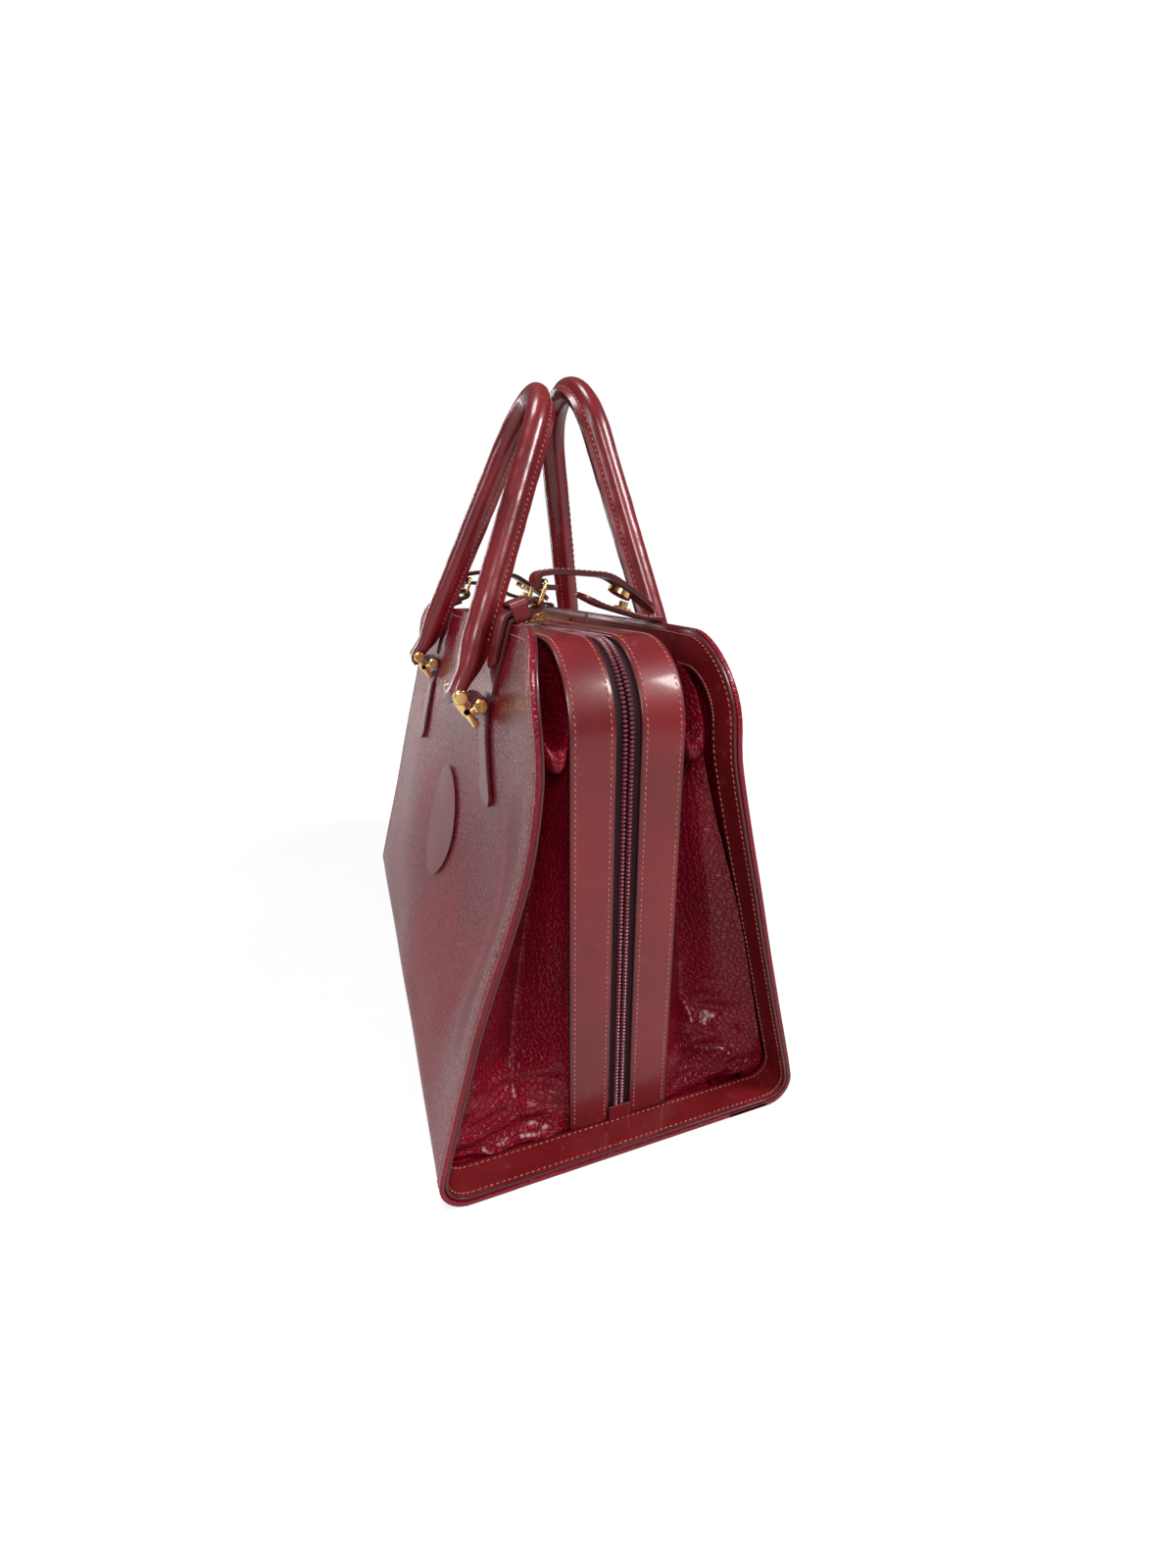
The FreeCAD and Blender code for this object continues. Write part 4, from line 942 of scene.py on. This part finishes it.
def make_clip(side, facts, end_name, end):
    """Brass clip: two cheeks, each with an upper and a lower eye, joined by a rounded bar and a plate."""
    depth, height = facts["lower_eye"]
    lower, upper, toe = Vector((0.0, 0.0)), Vector((-0.010, 0.005)), Vector((-0.0030, -0.0090))
    elbow = upper.lerp(toe, 0.5) + Vector((-0.0009, -0.0005))
    bm = bmesh.new()
    for cheek in (-0.0145, 0.0145):
        add_bar(bm, upper, upper, 0.0040, cheek, 0.0024)
        add_bar(bm, lower, lower, 0.0038, cheek, 0.0024)
        add_bar(bm, upper, elbow, 0.0023, cheek, 0.0020)
        add_bar(bm, elbow, toe, 0.0021, cheek, 0.0020)
        add_bar(bm, upper.lerp(toe, 0.62), lower, 0.0020, cheek, 0.0018)
    for share in (0.62, 0.78, 0.92):
        add_bar(bm, upper.lerp(toe, share), upper.lerp(toe, share + 0.08), 0.0011, 0.0, 0.0285)
    add_bar(bm, toe, toe, 0.0017, 0.0, 0.0300)
    turn = Matrix.Rotation(math.pi if facts["sign"] > 0 else 0.0, 4, "Z")
    place = Matrix.Translation((end * HANDLE_HALF, 0.0, 0.0)) @ turn \
        @ Matrix.Translation((0.0, -depth, height))
    bmesh.ops.transform(bm, matrix=place, verts=bm.verts)
    bmesh.ops.recalc_face_normals(bm, faces=bm.faces)
    finished("%s_link_%s" % (side, end_name), bm, BRASS, ["%s_clip_%s" % (side, end_name)],
             "%s_clips" % side)


# ---- hardware ----

METAL_NODES = [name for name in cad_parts
               if any(word in name for word in ("pins", "ring", "snap", "slider", "pull"))]


def finish_hardware():
    """Gold finish on the metal parts."""
    for name in METAL_NODES:
        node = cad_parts[name]
        for slot in node.material_slots:
            slot.material = BRASS


# ---- floor, light and camera ----

def make_floor():
    """Pale floor that glows to the eye, fading to full white away from the bag; the glow is dimmer near the
    bag, a painted shade around it, and glossy rays see 0.45 of it, which paints bright reflections of the
    floor on the bag's lower faces.
    """
    finish = Finish("pale_floor", Specular_IOR_Level=0.1, Emission_Strength=1.0)
    grain = finish.noise(40.0, 3.0)
    seen = finish.node("ShaderNodeLightPath", {}, "Is Camera Ray")
    mirrored = finish.node("ShaderNodeLightPath", {}, "Is Glossy Ray")
    away = finish.node("ShaderNodeVectorMath", {0: finish.place}, "Value", operation="LENGTH")
    glow = finish.blend(away.clipped(0.35, 1.1), grey(0.66), grey(1.0))
    # emission is the glow for camera rays, 0.45 of it for glossy rays (painted reflection on the bag) and a
    # faint grey for diffuse light
    glowing_floor_finish = finish.done(Base_Color=finish.blend(grain, grey(0.38), grey(0.41)), Roughness=0.85,
                        Emission_Color=finish.blend(seen + mirrored * 0.45, grey(0.08), glow))
    bm = bmesh.new()
    bmesh.ops.create_grid(bm, x_segments=2, y_segments=2, size=6.0)
    mesh = bpy.data.meshes.new("floor")
    bm.to_mesh(mesh)
    bm.free()
    mesh.materials.append(glowing_floor_finish)
    floor = bpy.data.objects.new("floor", mesh)
    bpy.context.collection.objects.link(floor)


def add_softbox(name, place, aim, wide, tall, power):
    """Rectangular light that faces a point."""
    lamp = bpy.data.lights.new(name, "AREA")
    lamp.shape, lamp.size, lamp.size_y, lamp.energy = "RECTANGLE", wide, tall, power
    holder = bpy.data.objects.new(name, lamp)
    holder.matrix_world = Matrix.Translation(place) @ (Vector(aim) - Vector(place)).to_track_quat("-Z", "Y") \
        .to_matrix().to_4x4()
    bpy.context.collection.objects.link(holder)


def make_light():
    """Dim white room and five softboxes."""
    world = bpy.data.worlds.new("studio")
    world.use_nodes = True
    tree = world.node_tree
    seen = tree.nodes.new("ShaderNodeLightPath").outputs["Is Camera Ray"]
    lift = tree.nodes.new("ShaderNodeMapRange")
    lift.inputs["To Min"].default_value, lift.inputs["To Max"].default_value = 0.12, 1.0
    tree.links.new(seen, lift.inputs["Value"])
    tree.links.new(lift.outputs["Result"], tree.nodes["Background"].inputs["Strength"])
    tree.nodes["Background"].inputs["Color"].default_value = (1.0, 1.0, 1.0, 1.0)
    bpy.context.scene.world = world
    aim = (0.0, 0.0, 0.15)
    add_softbox("key_softbox", (0.75, 0.85, 1.25), aim, 0.40, 0.40, 17.0)
    add_softbox("end_softbox", (1.35, -0.35, 1.05), aim, 0.30, 0.7, 14.0)
    add_softbox("left_softbox", (-1.5, -0.62, 0.50), aim, 0.10, 0.9, 3.5)
    add_softbox("side_softbox", (0.10, -1.6, 0.9), aim, 0.4, 0.9, 7.0)
    add_softbox("top_softbox", (-0.1, -0.3, 1.6), aim, 0.4, 0.4, 8.0)


def make_camera():
    """Camera beside the front wall's near end, looking along the bag and down."""
    yaw, pitch, roll = 0.3687, 0.3197, 0.0085
    forward = Vector((-math.cos(yaw) * math.cos(pitch), math.sin(yaw) * math.cos(pitch), -math.sin(pitch)))
    right = forward.cross(Vector((0, 0, 1))).normalized()
    up = right.cross(forward)
    right, up = (right * math.cos(roll) + up * math.sin(roll), up * math.cos(roll) - right * math.sin(roll))
    camera = bpy.data.cameras.new("camera")
    camera.sensor_width = 36.0
    camera.lens = 14.347
    camera.clip_start = 0.01
    holder = bpy.data.objects.new("camera", camera)
    holder.matrix_world = Matrix.Translation((0.4197, -0.1138, 0.2852)) \
        @ Matrix((right, up, -forward)).transposed().to_4x4()
    bpy.context.collection.objects.link(holder)
    bpy.context.scene.camera = holder


make_walls()
make_base()
make_trims()
make_bands()
make_zip()
make_gussets()
make_patch()
make_pocket()
for side, facts in SIDES.items():
    make_handle(side, facts)
    for end_name, end in ENDS.items():
        make_tab(side, facts, end_name, end)
        make_clip(side, facts, end_name, end)
for end_name, end in ENDS.items():
    make_front_strap(end_name, end)
    make_top_strap(end_name, end)
    make_back_strap(end_name, end)
    make_keeper(end_name)
finish_hardware()
make_floor()
make_light()
make_camera()
bpy.context.scene.view_settings.view_transform = "Standard"
